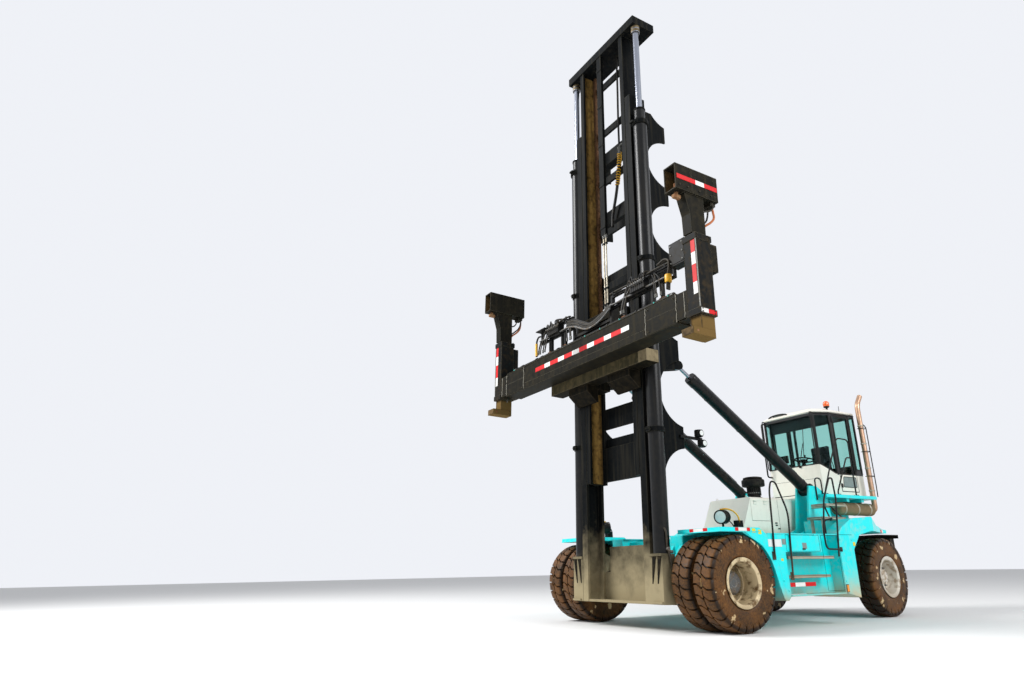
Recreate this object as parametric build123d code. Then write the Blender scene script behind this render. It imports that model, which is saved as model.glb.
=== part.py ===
from build123d import *
import math
import os

# Empty container handler. Millimetres, +Z up, the machine faces -Y, +X is its left side.
# While it is modelled, Y = 0 is the drive axle and Z = 0 the ground.
# At the end everything slides along Y so that the origin is under the middle of the whole.

# Running gear
wheelbase = 4400
tyre_radius = 685
tyre_width = 375
twin_gap = 73
half_width = 2075
rim_radius = 305
rim_flange_radius = 354
rim_wall = 14
tyre_shoulder = 95
lug_count = 18
lug_root = 640
lug_share = 0.72
steer_rest = 7
hub_radius = 165
steer_tyre_outer = 1490
kingpin_x = 980
kingpin_radius = 60
axle_height = tyre_radius
axle_tube_radius = 180
diff_radius = 240
diff_y = 110
steer_lock = 45

# Chassis
beam_inner = 620
beam_outer = 900
beam_bottom = 900
beam_top = 1400
beam_front = -20
rear_beam_half = 480
rear_beam_start = wheelbase - 1400
rear_member = 200
engine_length = 800
engine_top = 1900
frame_rear = wheelbase + 400
deck_top = 1470
deck_thick = 60
body_half = 2050
tank_rear = wheelbase - 2090
recess_in = body_half - 200
arch_rear = wheelbase - 1710
body_inner = 1160
counterweight_rear = wheelbase + 1080
counterweight_half = 1100
counterweight_slab = wheelbase + 870
tow_bore = 26

# Mast
lean_back = 2.4
mast_pin_y = -140
mast_pin_z = 1000
pin_radius = 45
ear_radius = 90
mast_bottom = 362
mast_top = 9812
rail_front = -715
rail_depth = 380
outer_rail_in = 740
outer_rail_out = 890
inner_rail_in = 615
inner_rail_out = 725
rail_flange = 45
rail_web = 40
inner_mast_bottom = 2342
crosshead_top = 11582
crosshead_height = 180
crosshead_half = 1126
lift_cylinder_x = 1030
lift_cylinder_y = -600
lift_barrel_radius = 130
lift_barrel_bore = 95
lift_barrel_bottom = 1100
lift_barrel_top = 9380
lift_barrel_step = 9072
lift_gland_radius = 105
lift_rod_radius = 60
lift_rod_bottom = 2900
foot_out = 1165
gusset_x = 852
gusset_thick = 26
gusset_tip_y = 170
gusset_tip_height = 380
crosshead_front = -746
crosshead_rear = -190
mast_clear = 10
pole_x = -40
pole_half = 70
pole_low = 7080
pipe_low = 5500
chain_x = 560
chain_low = 4300
apron_top = 1270
apron_side_top = 850
mast_lower = crosshead_top - crosshead_height - mast_top - mast_clear
mast_raise = 6000

# Carriage and spreader
carriage_bottom = 4020
carriage_top = 5360
carriage_beam_half = 1390
carriage_beam_bottom = 4078
carriage_beam_height = 216
carriage_beam_front = -1050
carriage_beam_depth = 270
spreader_half = 2530
spreader_front = -1417
spreader_depth = 359
spreader_bottom = 4269
spreader_height = 470
spreader_wall = 16
rack_low = 5190
rack_high = 5400
slide_gap = 6
run_gap = 0.3
side_shift = 300
spread_out = 3050
post_width = 247
post_outer = 3010
post_front = -1426
post_depth = 300
sleeve_bottom = 4272
sleeve_top = 5552
sleeve_wall = 16
post_inset = 34
post_set_back = 70
bracket_front = -1546
head_bottom = 6215
head_height = 430
head_front = -1735
head_rear = -870
head_wall = 18
lock_set_back = 110
lock_shank = 31
lock_half_width = 32
lock_half_length = 62
lock_thick = 55
lock_drop = 45
lock_turn = 90
foot_bottom = 3942
foot_front = -1580
post_raise = 300

# Tilt cylinders
tilt_x = 750
tilt_chassis_y = wheelbase - 970
tilt_chassis_z = 2280
tower_front = tilt_chassis_y - 730
tower_rear = tilt_chassis_y + 470
tilt_tower_top = 60
tilt_mast_y = 240
tilt_mast_z = 4370
tilt_barrel_radius = 105
tilt_rod_radius = 33
tilt_pin_radius = 25
tilt_eye_radius = 85
tilt_eye_bore = 48
tilt_eye_width = 60
tilt_gland_back = 330
tilt_back_more = 2.6
tilt_forward = 5.4

# Hood and cab
hood_half = 500
hood_front = rear_beam_start - 1200
hood_slope_run = 350
hood_top = 2130
hood_rear = wheelbase - 300
hood_wall = 30
hood_edge = 28
hatch_front = hood_front + 330
hatch_length = 510
hatch_rear = hatch_front + hatch_length
hatch_low = 1700
hinge_radius = 12
hinge_out = 13
hatch_open = 75
cab_front = wheelbase - 250
cab_front_half = 610
cab_half = 750
cab_facet_rear = wheelbase + 100
cab_rear = wheelbase + 900
cab_floor = 2220
cab_roof = 3930
cab_wall = 50
cab_sill = 2850
cab_head = 3840
cab_side_sill = 2640
pillar = 26
pane_thick = 8
door_front = wheelbase + 140
door_rear = wheelbase + 690
door_open = 70
seat_y = wheelbase + 480
console_y = wheelbase - 10
platform_front = wheelbase - 870
platform_rear = wheelbase + 680
platform_top = 2180
platform_thick = 60
platform_out = 1100
cradle_half = 700
frame_tower_half = 650


def box(x0, x1, y0, y1, z0, z1):
    return Pos((x0 + x1) / 2, (y0 + y1) / 2, (z0 + z1) / 2) * Box(abs(x1 - x0), abs(y1 - y0), abs(z1 - z0))


def plate_x(points, x0, x1):
    """A flat plate: the outline is given as (y, z) and it runs from x0 to x1."""
    face = make_face(Polyline(*[(x0, y, z) for y, z in points], close=True))
    return extrude(face, amount=x1 - x0, dir=(1, 0, 0))


def plate_z(points, z0, z1):
    """A flat plate: the outline is given as (x, y) and it runs from z0 to z1."""
    face = make_face(Polyline(*[(x, y, z0) for x, y in points], close=True))
    return extrude(face, amount=z1 - z0, dir=(0, 0, 1))


def rod_x(radius, x0, x1, y, z):
    return Pos((x0 + x1) / 2, y, z) * Rot(0, 90, 0) * Cylinder(radius, abs(x1 - x0))


def rod_y(radius, y0, y1, x, z):
    return Pos(x, (y0 + y1) / 2, z) * Rot(90, 0, 0) * Cylinder(radius, abs(y1 - y0))


def rod_z(radius, z0, z1, x, y):
    return Pos(x, y, (z0 + z1) / 2) * Cylinder(radius, abs(z1 - z0))


def rod_between(start, end, radius):
    line = Vector(*end) - Vector(*start)
    place = Plane(origin=start, z_dir=line)
    return extrude(place * Circle(radius), amount=line.length)


def pipe(points, radius):
    """A bent tube: straight rods with a ball at each corner."""
    solid = rod_between(points[0], points[1], radius)
    for before, after in zip(points[1:-1], points[2:]):
        solid += Pos(*before) * Sphere(radius)
        solid += rod_between(before, after, radius)
    return solid


def mirrored(shape):
    return mirror(shape, about=Plane.YZ)


def both(shape):
    return [shape, mirrored(shape)]


def joined(shapes):
    total = shapes[0]
    for shape in shapes[1:]:
        total = total + shape
    return total


nodes = {}


def keep(name, *shapes):
    flat = []
    for shape in shapes:
        flat += shape if isinstance(shape, list) else [shape]
    flat = [shape for entry in flat for shape in (entry if isinstance(entry, list) else [entry])]
    solids = [solid for shape in flat for solid in shape.solids()]
    nodes[name] = Compound(solids) if len(solids) > 1 else solids[0]


# Wheels

def lug_ring(x, tip_radius, root_radius, offset):
    """The outline of a ring of lugs at x: tips and roots at the two radii, turned by offset in lug pitches."""
    corners = []
    for count in range(lug_count):
        for share, radius in ((0, tip_radius), (lug_share, tip_radius), (lug_share, root_radius),
                              (1, root_radius)):
            angle = 2 * math.pi * (count + offset + share) / lug_count
            corners.append((x, radius * math.cos(angle), radius * math.sin(angle)))
    return make_face(Polyline(*corners, close=True))


def heavy_tyre():
    """A heavy tyre about the X axis with a row of lugs on each shoulder, out to the tips of the lugs."""
    half = tyre_width / 2
    shoulder = half - tyre_shoulder * 0.55
    side_radius = tyre_radius - tyre_shoulder
    body = None
    for sign, offset in ((1, 0), (-1, 0.5)):
        rings = [lug_ring(0, tyre_radius, lug_root, offset),
                 lug_ring(sign * shoulder, tyre_radius, lug_root, offset),
                 lug_ring(sign * half, side_radius, side_radius - 8, offset)]
        row = loft(rings, ruled=True)
        body = row if body is None else body + row
    body -= rod_x(rim_radius, -half - 1, half + 1, 0, 0)
    for start in (-half - 1, half - 30):
        body -= rod_x(rim_flange_radius, start, start + 31, 0, 0)
    return body


def rim(x_in, x_out, y, disc_x):
    """A rim barrel with two flanges and one disc that carries it."""
    barrel = rod_x(rim_radius, x_in + 40, x_out - 40, y, axle_height)
    barrel -= rod_x(rim_radius - rim_wall, x_in, x_out, y, axle_height)
    disc = rod_x(rim_radius - rim_wall / 2, disc_x - 12, disc_x + 12, y, axle_height)
    return barrel + disc


outer_tyre_in = half_width - tyre_width
inner_tyre_out = outer_tyre_in - twin_gap
inner_tyre_in = inner_tyre_out - tyre_width
wheel_disc_x = inner_tyre_out + twin_gap / 2
hub_outer = wheel_disc_x + 210

lugged = heavy_tyre()
for side, turn in (("left", 1), ("right", -1)):
    twin = [Pos(x + tyre_width / 2, 0, axle_height) * lugged for x in (outer_tyre_in, inner_tyre_in)]
    rims = rim(outer_tyre_in, half_width, 0, outer_tyre_in + 60)
    rims += rim(inner_tyre_in, inner_tyre_out, 0, inner_tyre_out - 60)
    rims += rod_x(rim_radius, outer_tyre_in + 40, inner_tyre_out - 40, 0, axle_height)
    rims += rod_x(hub_radius, inner_tyre_in + 60, hub_outer, 0, axle_height)
    if turn < 0:
        twin = [mirrored(one) for one in twin]
        rims = mirrored(rims)
    keep(f"drive_tyres_{side}", twin)
    keep(f"drive_rims_{side}", rims)

steer_tyre_in = steer_tyre_outer - tyre_width
steer_disc_x = steer_tyre_in + 150
for side, turn in (("left", 1), ("right", -1)):
    wheel = Pos(steer_tyre_in + tyre_width / 2, wheelbase, axle_height) * lugged
    disc = rim(steer_tyre_in, steer_tyre_outer, wheelbase, steer_disc_x)
    disc += rod_x(hub_radius, steer_disc_x, steer_disc_x + 110, wheelbase, axle_height)
    knuckle = rod_z(kingpin_radius, axle_height - 230, axle_height + 230, kingpin_x, wheelbase)
    for low, high in ((-230, -170), (170, 230)):
        knuckle += rod_z(110, axle_height + low, axle_height + high, kingpin_x, wheelbase)
        knuckle += box(kingpin_x, kingpin_x + 120, wheelbase - 90, wheelbase + 90, axle_height + low,
                       axle_height + high)
    web = box(kingpin_x + 112, kingpin_x + 150, wheelbase - 90, wheelbase + 90, axle_height - 230,
              axle_height + 230)
    knuckle += web
    knuckle += rod_x(90, kingpin_x + 130, steer_disc_x - 12 - run_gap, wheelbase, axle_height)
    if turn < 0:
        wheel, disc, knuckle = mirrored(wheel), mirrored(disc), mirrored(knuckle)
    about = Pos(turn * kingpin_x, wheelbase, 0) * Rot(0, 0, steer_rest) * Pos(-turn * kingpin_x,
                                                                              -wheelbase, 0)
    wheel, disc, knuckle = about * wheel, about * disc, about * knuckle
    keep(f"steer_tyre_{side}", wheel)
    keep(f"steer_rim_{side}", disc)
    keep(f"steer_knuckle_{side}", knuckle)

# Axles

axle_end = inner_tyre_in + 60 - run_gap
drive_axle = rod_x(axle_tube_radius, -axle_end, axle_end, 0, axle_height)
drive_axle += rod_x(diff_radius, -170, 170, diff_y, axle_height)
for sign in (1, -1):
    seat = box(sign * beam_inner, sign * beam_outer, -150, 150, axle_height, beam_bottom)
    drive_axle += seat
keep("drive_axle", drive_axle)

beam_end = kingpin_x - 110 - 8
steer_axle = box(-beam_end, beam_end, wheelbase - 150, wheelbase + 150, axle_height - 150,
                 axle_height + 150)
for sign in (1, -1):
    eye = rod_z(105, axle_height - 170 + run_gap, axle_height + 170 - run_gap, sign * kingpin_x, wheelbase)
    eye += box(sign * 800, sign * kingpin_x, wheelbase - 100, wheelbase + 100, axle_height - 150,
               axle_height + 150)
    eye -= rod_z(kingpin_radius + run_gap, axle_height - 200, axle_height + 200, sign * kingpin_x,
                 wheelbase)
    steer_axle -= rod_z(kingpin_radius + run_gap, axle_height - 200, axle_height + 200, sign * kingpin_x,
                        wheelbase)
    steer_axle += eye
steer_axle += box(-260, 260, wheelbase - 120, wheelbase + 120, axle_height + 150, beam_bottom)
keep("steer_axle", steer_axle)

# Chassis frame: two deep beams, the mast clevises, the tilt cylinder towers

frame_parts = []
for sign in (1, -1):
    beam = box(sign * beam_inner, sign * beam_outer, beam_front, rear_beam_start + rear_member,
               beam_bottom, beam_top)
    for inner, outer in ((beam_inner + 20, beam_inner + 80), (beam_outer - 80, beam_outer - 20)):
        cheek = plate_x(
            [(beam_front + 40, beam_bottom), (beam_front + 40, beam_top - 100),
             (mast_pin_y, mast_pin_z + ear_radius), (mast_pin_y, mast_pin_z - ear_radius)],
            sign * inner, sign * outer)
        cheek += rod_x(ear_radius, sign * inner, sign * outer, mast_pin_y, mast_pin_z)
        beam += cheek
    beam += rod_x(pin_radius, sign * (beam_inner + 10), sign * (beam_outer - 10), mast_pin_y, mast_pin_z)
    tower_out = tilt_x + 150
    for inner, outer in ((tilt_x - 150, tilt_x - 115), (tilt_x + 115, tower_out)):
        tower = plate_x(
            [(tower_front, beam_top - 10), (tower_front + 450, beam_top + 150),
             (tower_front + 570, tilt_chassis_z - 150),
             (tilt_chassis_y - 110, tilt_chassis_z + tilt_tower_top), (tilt_chassis_y + 110,
                                                                       tilt_chassis_z + tilt_tower_top),
             (tower_rear - 80, tilt_chassis_z - 100), (tower_rear, beam_top - 10)],
            sign * inner, sign * outer)
        beam += tower
    beam += rod_x(40, sign * (tilt_x - 140), sign * (tower_out - 5), tilt_chassis_y, tilt_chassis_z)
    beam += box(sign * (tilt_x - 150), sign * tower_out, tower_front, tower_rear + 100, beam_top - 60,
                beam_top)
    beam += box(sign * 560, sign * body_inner, beam_front + 20, tower_rear, beam_top, beam_top + 12)
    frame_parts.append(beam)
for y0, y1 in ((150, 330), (1500, 1700), (rear_beam_start, rear_beam_start + rear_member)):
    frame_parts.append(box(-beam_inner, beam_inner, y0, y1, beam_bottom + 50, beam_top - 50))
frame_parts.append(box(-rear_beam_half, rear_beam_half, rear_beam_start + rear_member - 50, frame_rear,
                       beam_bottom, beam_top))
frame_parts.append(box(-frame_tower_half, frame_tower_half, cab_front, cab_front + 600, beam_top,
                       cab_floor - 60))
frame_parts.append(box(-cradle_half, cradle_half, cab_front + 10, cab_rear - 100, cab_floor - 60,
                       cab_floor))
keep("chassis_frame", joined(frame_parts))

# Front fenders: a flat top and an arch round the twin wheels

arch = [(140, 1410), (520, 1200), (670, 1000), (770, 610), (870, 410)]
front_fender = plate_x(
    [(-350, deck_top - deck_thick), (-350, deck_top), (470, deck_top), (600, 1385), (700, 1230),
     (790, 1010), (860, 620), (930, 410)] + list(reversed(arch)),
    body_inner, body_half)
keep("front_fenders", both(front_fender))

# Side tanks between the wheels, with a recess for the lower steps

tank_edge = [(601, 1384), (701, 1230), (791, 1010), (861, 620), (931, 410)]
tank = plate_x(
    tank_edge + [(1020, 490), (tank_rear, 490), (tank_rear, 1384)],
    body_inner, recess_in)
skin = plate_x(tank_edge + [(1000, 470), (1000, 1110), (tank_rear - 450, 1110), (tank_rear - 450, 1384)],
               recess_in, body_half)
plain_skin = plate_x(tank_edge + [(1020, 490), (tank_rear, 490), (tank_rear, 1384)], recess_in, body_half)
keep("side_tanks", tank + skin, mirrored(tank + plain_skin))

# Rear fenders over the steered wheels

rear_profile = [
    (tank_rear + 1, 490), (arch_rear, 400), (arch_rear + 10, 1150), (arch_rear + 210,
                                                                     1380), (arch_rear + 560, 1450),
    (arch_rear + 1010, 1450), (wheelbase + 150, 1450), (wheelbase + 150, 1510), (arch_rear + 1010, 1560),
    (arch_rear + 610, 1690), (arch_rear + 50, 1650), (tank_rear + 140, 1500), (tank_rear + 1, 1384),
]
rear_fender = plate_x(rear_profile, beam_outer + 20, body_half)
rear_fender -= plate_z([(body_half + 10, wheelbase - 1100), (1500, wheelbase + 50), (1500, wheelbase + 300),
                        (body_half + 400, wheelbase + 300)], 300, 1900)
rear_fender -= box(beam_outer, body_inner, tank_rear - 10, wheelbase - 400, 300, 1430)
rear_fender -= box(beam_outer, recess_in - 35, tank_rear - 10, tank_rear + 690, 1380, 1750)
keep("rear_fenders", both(rear_fender))

# Counterweight

weight_plan = [(-counterweight_half, counterweight_slab), (counterweight_half, counterweight_slab),
               (counterweight_half, counterweight_rear - 90), (900, counterweight_rear),
               (-900, counterweight_rear), (-counterweight_half, counterweight_rear - 90)]
counterweight = plate_z(weight_plan, 560, 1400)
counterweight += box(-rear_beam_half, rear_beam_half, frame_rear, counterweight_slab + 10, 560, 1400)
tow_slot = 110
tow_y = counterweight_rear - 55
counterweight -= box(-tow_slot, tow_slot, counterweight_rear - 110, counterweight_rear + 1, 660, 1410)
tow_lug = box(-tow_slot, tow_slot, counterweight_rear - 115, counterweight_rear - 10, 740, 790)
tow_lug -= rod_z(tow_bore, 700, 850, 0, tow_y)
counterweight += tow_lug
keep("counterweight", counterweight)

# Engine and its hood

engine_half = 340
keep("engine_block", box(-engine_half, engine_half, rear_beam_start - engine_length, rear_beam_start,
                         beam_bottom, engine_top))

hood_front_top = hood_front + hood_slope_run
hood_outline = [(hood_front, beam_top + 13), (hood_front_top, hood_top), (hood_rear, hood_top),
                (hood_rear, beam_top + 13)]
hood = plate_x(hood_outline, -hood_half, hood_half)
hollow = [(hood_front + 40, beam_top), (hood_front_top + 25, hood_top - hood_wall),
          (hood_rear - hood_wall, hood_top - hood_wall), (hood_rear - hood_wall, beam_top)]
hood -= plate_x(hollow, -hood_half + hood_wall, hood_half - hood_wall)
chamfer = [(hood_half - hood_edge, hood_top + 1), (hood_half + 1, hood_top + 1),
           (hood_half + 1, hood_top - hood_edge)]
cut_face = make_face(Polyline(*[(x, hood_front - 10, z) for x, z in chamfer], close=True))
edge_cut = extrude(cut_face, amount=hood_rear - hood_front + 20, dir=(0, 1, 0))
hood -= edge_cut
hood -= mirrored(edge_cut)
hatch_bottom = hatch_low
hatch_top = hood_top - 70
hatch_gap = 6
for sign in (1, -1):
    hood -= box(sign * (hood_half - hood_wall - 5), sign * (hood_half + 5), hatch_front, hatch_rear,
                hatch_bottom, hatch_top)
hood_carry = []
for sign in (1, -1):
    hood_carry.append(box(sign * (hood_half - hood_wall), sign * 560, hood_front + 60, hood_rear,
                          beam_top, beam_top + 13))
keep("engine_hood", joined([hood] + hood_carry))
for side, sign in (("left", 1), ("right", -1)):
    hatch = box(sign * (hood_half - hood_wall), sign * hood_half, hatch_front + hatch_gap,
                hatch_rear - hatch_gap,
                hatch_bottom + hatch_gap, hatch_top - run_gap)
    for y in (hatch_front + 80, hatch_rear - 160):
        hatch += box(sign * hood_half, sign * (hood_half + 7), y, y + 80, hatch_top - 60, hatch_top + 2)
        hatch += rod_y(hinge_radius, y, y + 80, sign * (hood_half + hinge_out), hatch_top + 2)
    keep(f"hood_hatch_{side}", hatch)

cleaner_x = 300
cleaner_y = hood_front + 700
cleaner = rod_z(120, hood_top, hood_top + 230, cleaner_x, cleaner_y)
cleaner += rod_z(210, hood_top + 230, hood_top + 330, cleaner_x, cleaner_y)
cleaner += rod_z(180, hood_top + 330, hood_top + 400, cleaner_x, cleaner_y)
keep("air_precleaner", cleaner)

# Cab: walls and roof with real window openings

cab_plan = [(-cab_front_half, cab_front), (cab_front_half, cab_front), (cab_half, cab_facet_rear),
            (cab_half, cab_rear), (-cab_half, cab_rear), (-cab_half, cab_facet_rear)]
inner_plan = [(-cab_front_half + 35, cab_front + cab_wall), (cab_front_half - 35, cab_front + cab_wall),
              (cab_half - cab_wall, cab_facet_rear + 5), (cab_half - cab_wall, cab_rear - cab_wall),
              (-cab_half + cab_wall, cab_rear - cab_wall), (-cab_half + cab_wall, cab_facet_rear + 5)]
cab = plate_z(cab_plan, cab_floor, cab_roof)
cab -= plate_z(inner_plan, cab_floor + 60, cab_roof - 50)
cab += plate_x([(cab_front + 90, cab_roof - 10), (cab_front + 190, cab_roof + 45),
                (cab_rear - 260, cab_roof + 80), (cab_rear - 90, cab_roof - 10)],
               100 - cab_front_half, cab_front_half - 100)


def wall_plate(start, end, outline, inside, outside):
    """A plate in a wall that runs in plan from start to end: the outline is (along the wall, z)."""
    turn = math.degrees(math.atan2(end[1] - start[1], end[0] - start[0]))
    face = make_face(Polyline(*[(u, -outside, z) for u, z in outline], close=True))
    return Pos(start[0], start[1], 0) * Rot(0, 0, turn) * extrude(face, amount=outside - inside,
                                                                  dir=(0, 1, 0))


def opening(width, left_sill, right_sill):
    """The outline of a window with a sill that may slope, one pillar in from each end."""
    return [(pillar, left_sill), (width - pillar, right_sill), (width - pillar, cab_head),
            (pillar, cab_head)]


facet_length = math.hypot(cab_half - cab_front_half, cab_facet_rear - cab_front)
front_left = (cab_front_half, cab_front)
facet_end = (cab_half, cab_facet_rear)
rear_left = (cab_half, cab_rear)
panes = []
# Windows. Columns: wall start, wall end, outline, mirrored too
windows = [
    ((-cab_front_half, cab_front), front_left, opening(2 * cab_front_half, cab_sill, cab_sill), False),
    (front_left, facet_end, opening(facet_length, cab_sill, cab_side_sill), True),
    (rear_left, (-cab_half, cab_rear), opening(2 * cab_half, cab_side_sill + 110, cab_side_sill + 110),
     False),
]
for start, end, outline, twice in windows:
    cut = wall_plate(start, end, outline, -90, 20)
    glass = wall_plate(start, end, outline, -22 - pane_thick, -22)
    cab -= cut
    panes.append(glass)
    if twice:
        cab -= mirrored(cut)
        panes.append(mirrored(glass))
quarter_cut = box(cab_half - 80, cab_half + 20, door_rear + 6 + pillar, cab_rear - pillar,
                  cab_side_sill + 110, cab_head)
quarter_pane = box(cab_half - 30, cab_half - 30 + pane_thick, door_rear + 6 + pillar, cab_rear - pillar,
                   cab_side_sill + 110, cab_head)
door_cut = box(cab_half - 60, cab_half + 20, door_front - run_gap, door_rear + 6, cab_floor + 70,
               cab_head + 14)
cab -= quarter_cut
cab -= mirrored(quarter_cut)
cab -= door_cut
cab -= mirrored(door_cut)
panes += both(quarter_pane)
knuckles = ((cab_floor + 150, cab_floor + 230), (cab_head - 150, cab_head - 70))
for low, high in knuckles:
    knuckle = box(cab_half - 10, cab_half + 6, door_front - 50, door_front, high + 2, high + 60)
    knuckle += rod_z(hinge_radius, high + 2, high + 60, cab_half + hinge_out, door_front)
    cab += knuckle
    cab += mirrored(knuckle)
keep("cab_shell", cab)
keep("cab_windows", panes)

for side, sign in (("left", 1), ("right", -1)):
    door = box(cab_half - 45, cab_half, door_front, door_rear, cab_floor + 76, cab_head + 8)
    door -= box(cab_half - 60, cab_half + 20, door_front + 36, door_rear - 36, cab_side_sill, cab_head - 28)
    for low, high in knuckles:
        door += box(cab_half - 5, cab_half + 6, door_front, door_front + 50, low, high)
        door += rod_z(hinge_radius, low, high, cab_half + hinge_out, door_front)
    glass = box(cab_half - 28, cab_half - 28 + pane_thick, door_front + 36, door_rear - 36, cab_side_sill,
                cab_head - 28)
    if sign < 0:
        door, glass = mirrored(door), mirrored(glass)
    keep(f"cab_door_{side}", door)
    keep(f"door_glass_{side}", glass)

seat = box(-200, 200, seat_y - 130, seat_y + 170, cab_floor + 60, cab_floor + 380)
seat += box(-260, 260, seat_y - 240, seat_y + 240, cab_floor + 380, cab_floor + 520)
seat += box(-250, 250, seat_y + 150, seat_y + 270, cab_floor + 520, cab_floor + 1150)
for sign in (1, -1):
    seat += box(sign * 260, sign * 340, seat_y - 180, seat_y + 200, cab_floor + 440, cab_floor + 500)
keep("operator_seat", seat)

console = rod_between((0, console_y, cab_floor + 110), (0, console_y + 110, cab_floor + 780), 45)
wheel_place = Plane(origin=(0, console_y + 118, cab_floor + 800), z_dir=(0, 0.17, 1))
console += wheel_place * (Cylinder(196, 28) - Cylinder(164, 40))
console += wheel_place * Box(345, 40, 16)
console += wheel_place * Pos(0, 0, -25) * Cylinder(72, 60)
console += box(-420, 420, console_y - 60, console_y + 60, cab_floor + 60, cab_floor + 140)
keep("steering_console", console)

# Platforms beside the cab

platform_plan = [(cradle_half, platform_front), (platform_out, platform_front),
                 (platform_out, platform_rear), (cradle_half, platform_rear)]
platform = plate_z(platform_plan, platform_top - platform_thick, platform_top)
platform -= box(tilt_x - 160, tilt_x + 160, platform_front - 30, tower_rear - 50, platform_top - 80,
                platform_top + 20)
bearer_y = (cab_front + 50, cab_front + 510)
for y in bearer_y:
    platform += box(frame_tower_half, platform_out - 60, y, y + 80, platform_top - platform_thick - 60,
                    platform_top - platform_thick)
keep("side_platforms", both(platform))

# Steps: x inner, x outer, y front, y rear, top z
step_table = [
    (recess_in, body_half, 1000, tank_rear - 310, 770),
    (recess_in, body_half, 1040, tank_rear - 160, 1050),
    (recess_in - 350, recess_in - 50, tank_rear + 30, tank_rear + 670, 1690),
    (recess_in - 650, recess_in - 350, tower_front + 200, tower_front + 780, 1950),
]
steps = []
for x_in, x_out, y_front, y_rear, top in step_table:
    steps.append(box(x_in, x_out, y_front, y_rear, top - 40, top))
for x, y in ((recess_in - 320, tank_rear + 70), (recess_in - 110, tank_rear + 70),
             (recess_in - 110, tank_rear + 590)):
    steps[2] += box(x, x + 40, y, y + 40, 1380, 1660)
steps[3] += box(tilt_x + 150, recess_in - 640, tower_front + 600, tower_front + 680, 1910, 1950)
keep("access_steps", steps)

# Handrails of bent tube

tube = 17
rail_x = body_half + tube
guard_x = platform_out - 40
tank_rail = [(rail_x, 720, 1040), (rail_x, 785, 2040), (rail_x, 812, 2140), (rail_x, 870, 2180),
             (rail_x, 945, 2120), (rail_x, 1150, 1715), (rail_x, 1070, 740)]
hoop_y = tank_rear - 360
step_rail = [(rail_x, hoop_y + 300, 1040), (rail_x, hoop_y + 340, 1300), (rail_x, hoop_y + 450, 1960),
             (rail_x, hoop_y + 435, 2270), (rail_x, hoop_y + 395, 2325), (rail_x, hoop_y + 345, 2270),
             (rail_x, hoop_y + 135, 1950), (rail_x, hoop_y + 5, 1420), (rail_x, hoop_y + 35, 1155)]
guard_rail = [(guard_x, platform_front + 40, platform_top), (guard_x, platform_front + 40, 2250),
              (guard_x, cab_front - 180, 2980),
              (guard_x, cab_front + 10, 3285), (guard_x, cab_front + 360, 3275),
              (guard_x, cab_front + 350, 2300), (guard_x, cab_front + 350, platform_top)]
middle_rail = [(guard_x, platform_front + 420, platform_top), (guard_x, platform_front + 420, 2250),
               (guard_x, cab_front + 220, 2915),
               (guard_x, cab_front + 355, 2915)]
tower_x = tilt_x + 166
tower_rail = [(tower_x, platform_front - 30, 2080), (tower_x, platform_front - 30, 2400),
              (tower_x, platform_front + 60, 2500), (tower_x, platform_front + 150, 2400),
              (tower_x, platform_front + 150, platform_top)]
rails = [pipe(tank_rail, tube), pipe(guard_rail, tube) + pipe(middle_rail, tube), pipe(tower_rail, 16)]
step_bar = [(rail_x, hoop_y + 35, 1155), (rail_x, tank_rear + 40, 1150)]
step_foot = box(body_half, rail_x, tank_rear + 20, tank_rear + 60, 1115, 1185)  # seats the hoop on the fender
rails.append(pipe(step_rail, tube) + pipe(step_bar, tube) + step_foot)
hoop = pipe([(cab_front_half - 30, cab_front, 3850), (cab_front_half - 30, cab_front - 130, 3850),
             (cab_front_half - 30, cab_front - 130, 2700), (cab_front_half - 30, cab_front, 2700)], 16)
rails.append(mirrored(hoop))
keep("handrails", rails)

# Exhaust: muffler under the left platform and a tall stack

stack_x = 950
stack_y = cab_rear - 100
muffler_front = cab_front - 200
muffler_rear = stack_y - 140
muffler_z = 1930
exhaust = rod_y(120, muffler_front, muffler_rear, stack_x, muffler_z)
exhaust += rod_y(50, muffler_rear, stack_y, stack_x, muffler_z)
exhaust += Pos(stack_x, stack_y, muffler_z) * Sphere(50)
exhaust += rod_z(50, muffler_z, 4080, stack_x, stack_y)
exhaust += Pos(stack_x, stack_y, 4080) * Sphere(50)
exhaust += rod_between((stack_x, stack_y, 4080), (stack_x, stack_y + 150, 4280), 50)
for y in bearer_y:
    exhaust += box(stack_x - 40, stack_x + 40, y + 10, y + 70, muffler_z,
                   platform_top - platform_thick - 60)
exhaust += box(cradle_half, stack_x, stack_y - 60, stack_y, cab_floor - 60, cab_floor - 20)
keep("exhaust", exhaust)

# Work lamps on the fenders and the beacon on the roof

lamp = rod_z(30, deck_top, deck_top + 80, 1500, 300)
lamp += rod_y(110, 220, 380, 1500, deck_top + 190)
beacon_x, beacon_y = 540, wheelbase + 370
beacon = rod_z(25, cab_roof, cab_roof + 130, beacon_x, beacon_y)
beacon += rod_z(58, cab_roof + 130, cab_roof + 165, beacon_x, beacon_y)
beacon += rod_z(62, cab_roof + 165, cab_roof + 280, beacon_x, beacon_y)
keep("work_lamps", both(lamp))
keep("beacon", beacon)

# Mast, modelled upright and then leaned back about its pin

rail_rear = rail_front + rail_depth


def channel(x_web, x_open, z0, z1):
    """A channel rail that opens toward x_open."""
    low, high = min(x_web, x_open), max(x_web, x_open)
    section = box(low, high, rail_front, rail_rear, z0, z1)
    step = rail_web if x_open > x_web else -rail_web
    hollow_x = sorted((x_web + step, x_open + (10 if x_open > x_web else -10)))
    section -= box(hollow_x[0], hollow_x[1], rail_front + rail_flange, rail_rear - rail_flange, z0 - 5,
                   z1 + 5)
    return section


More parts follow.
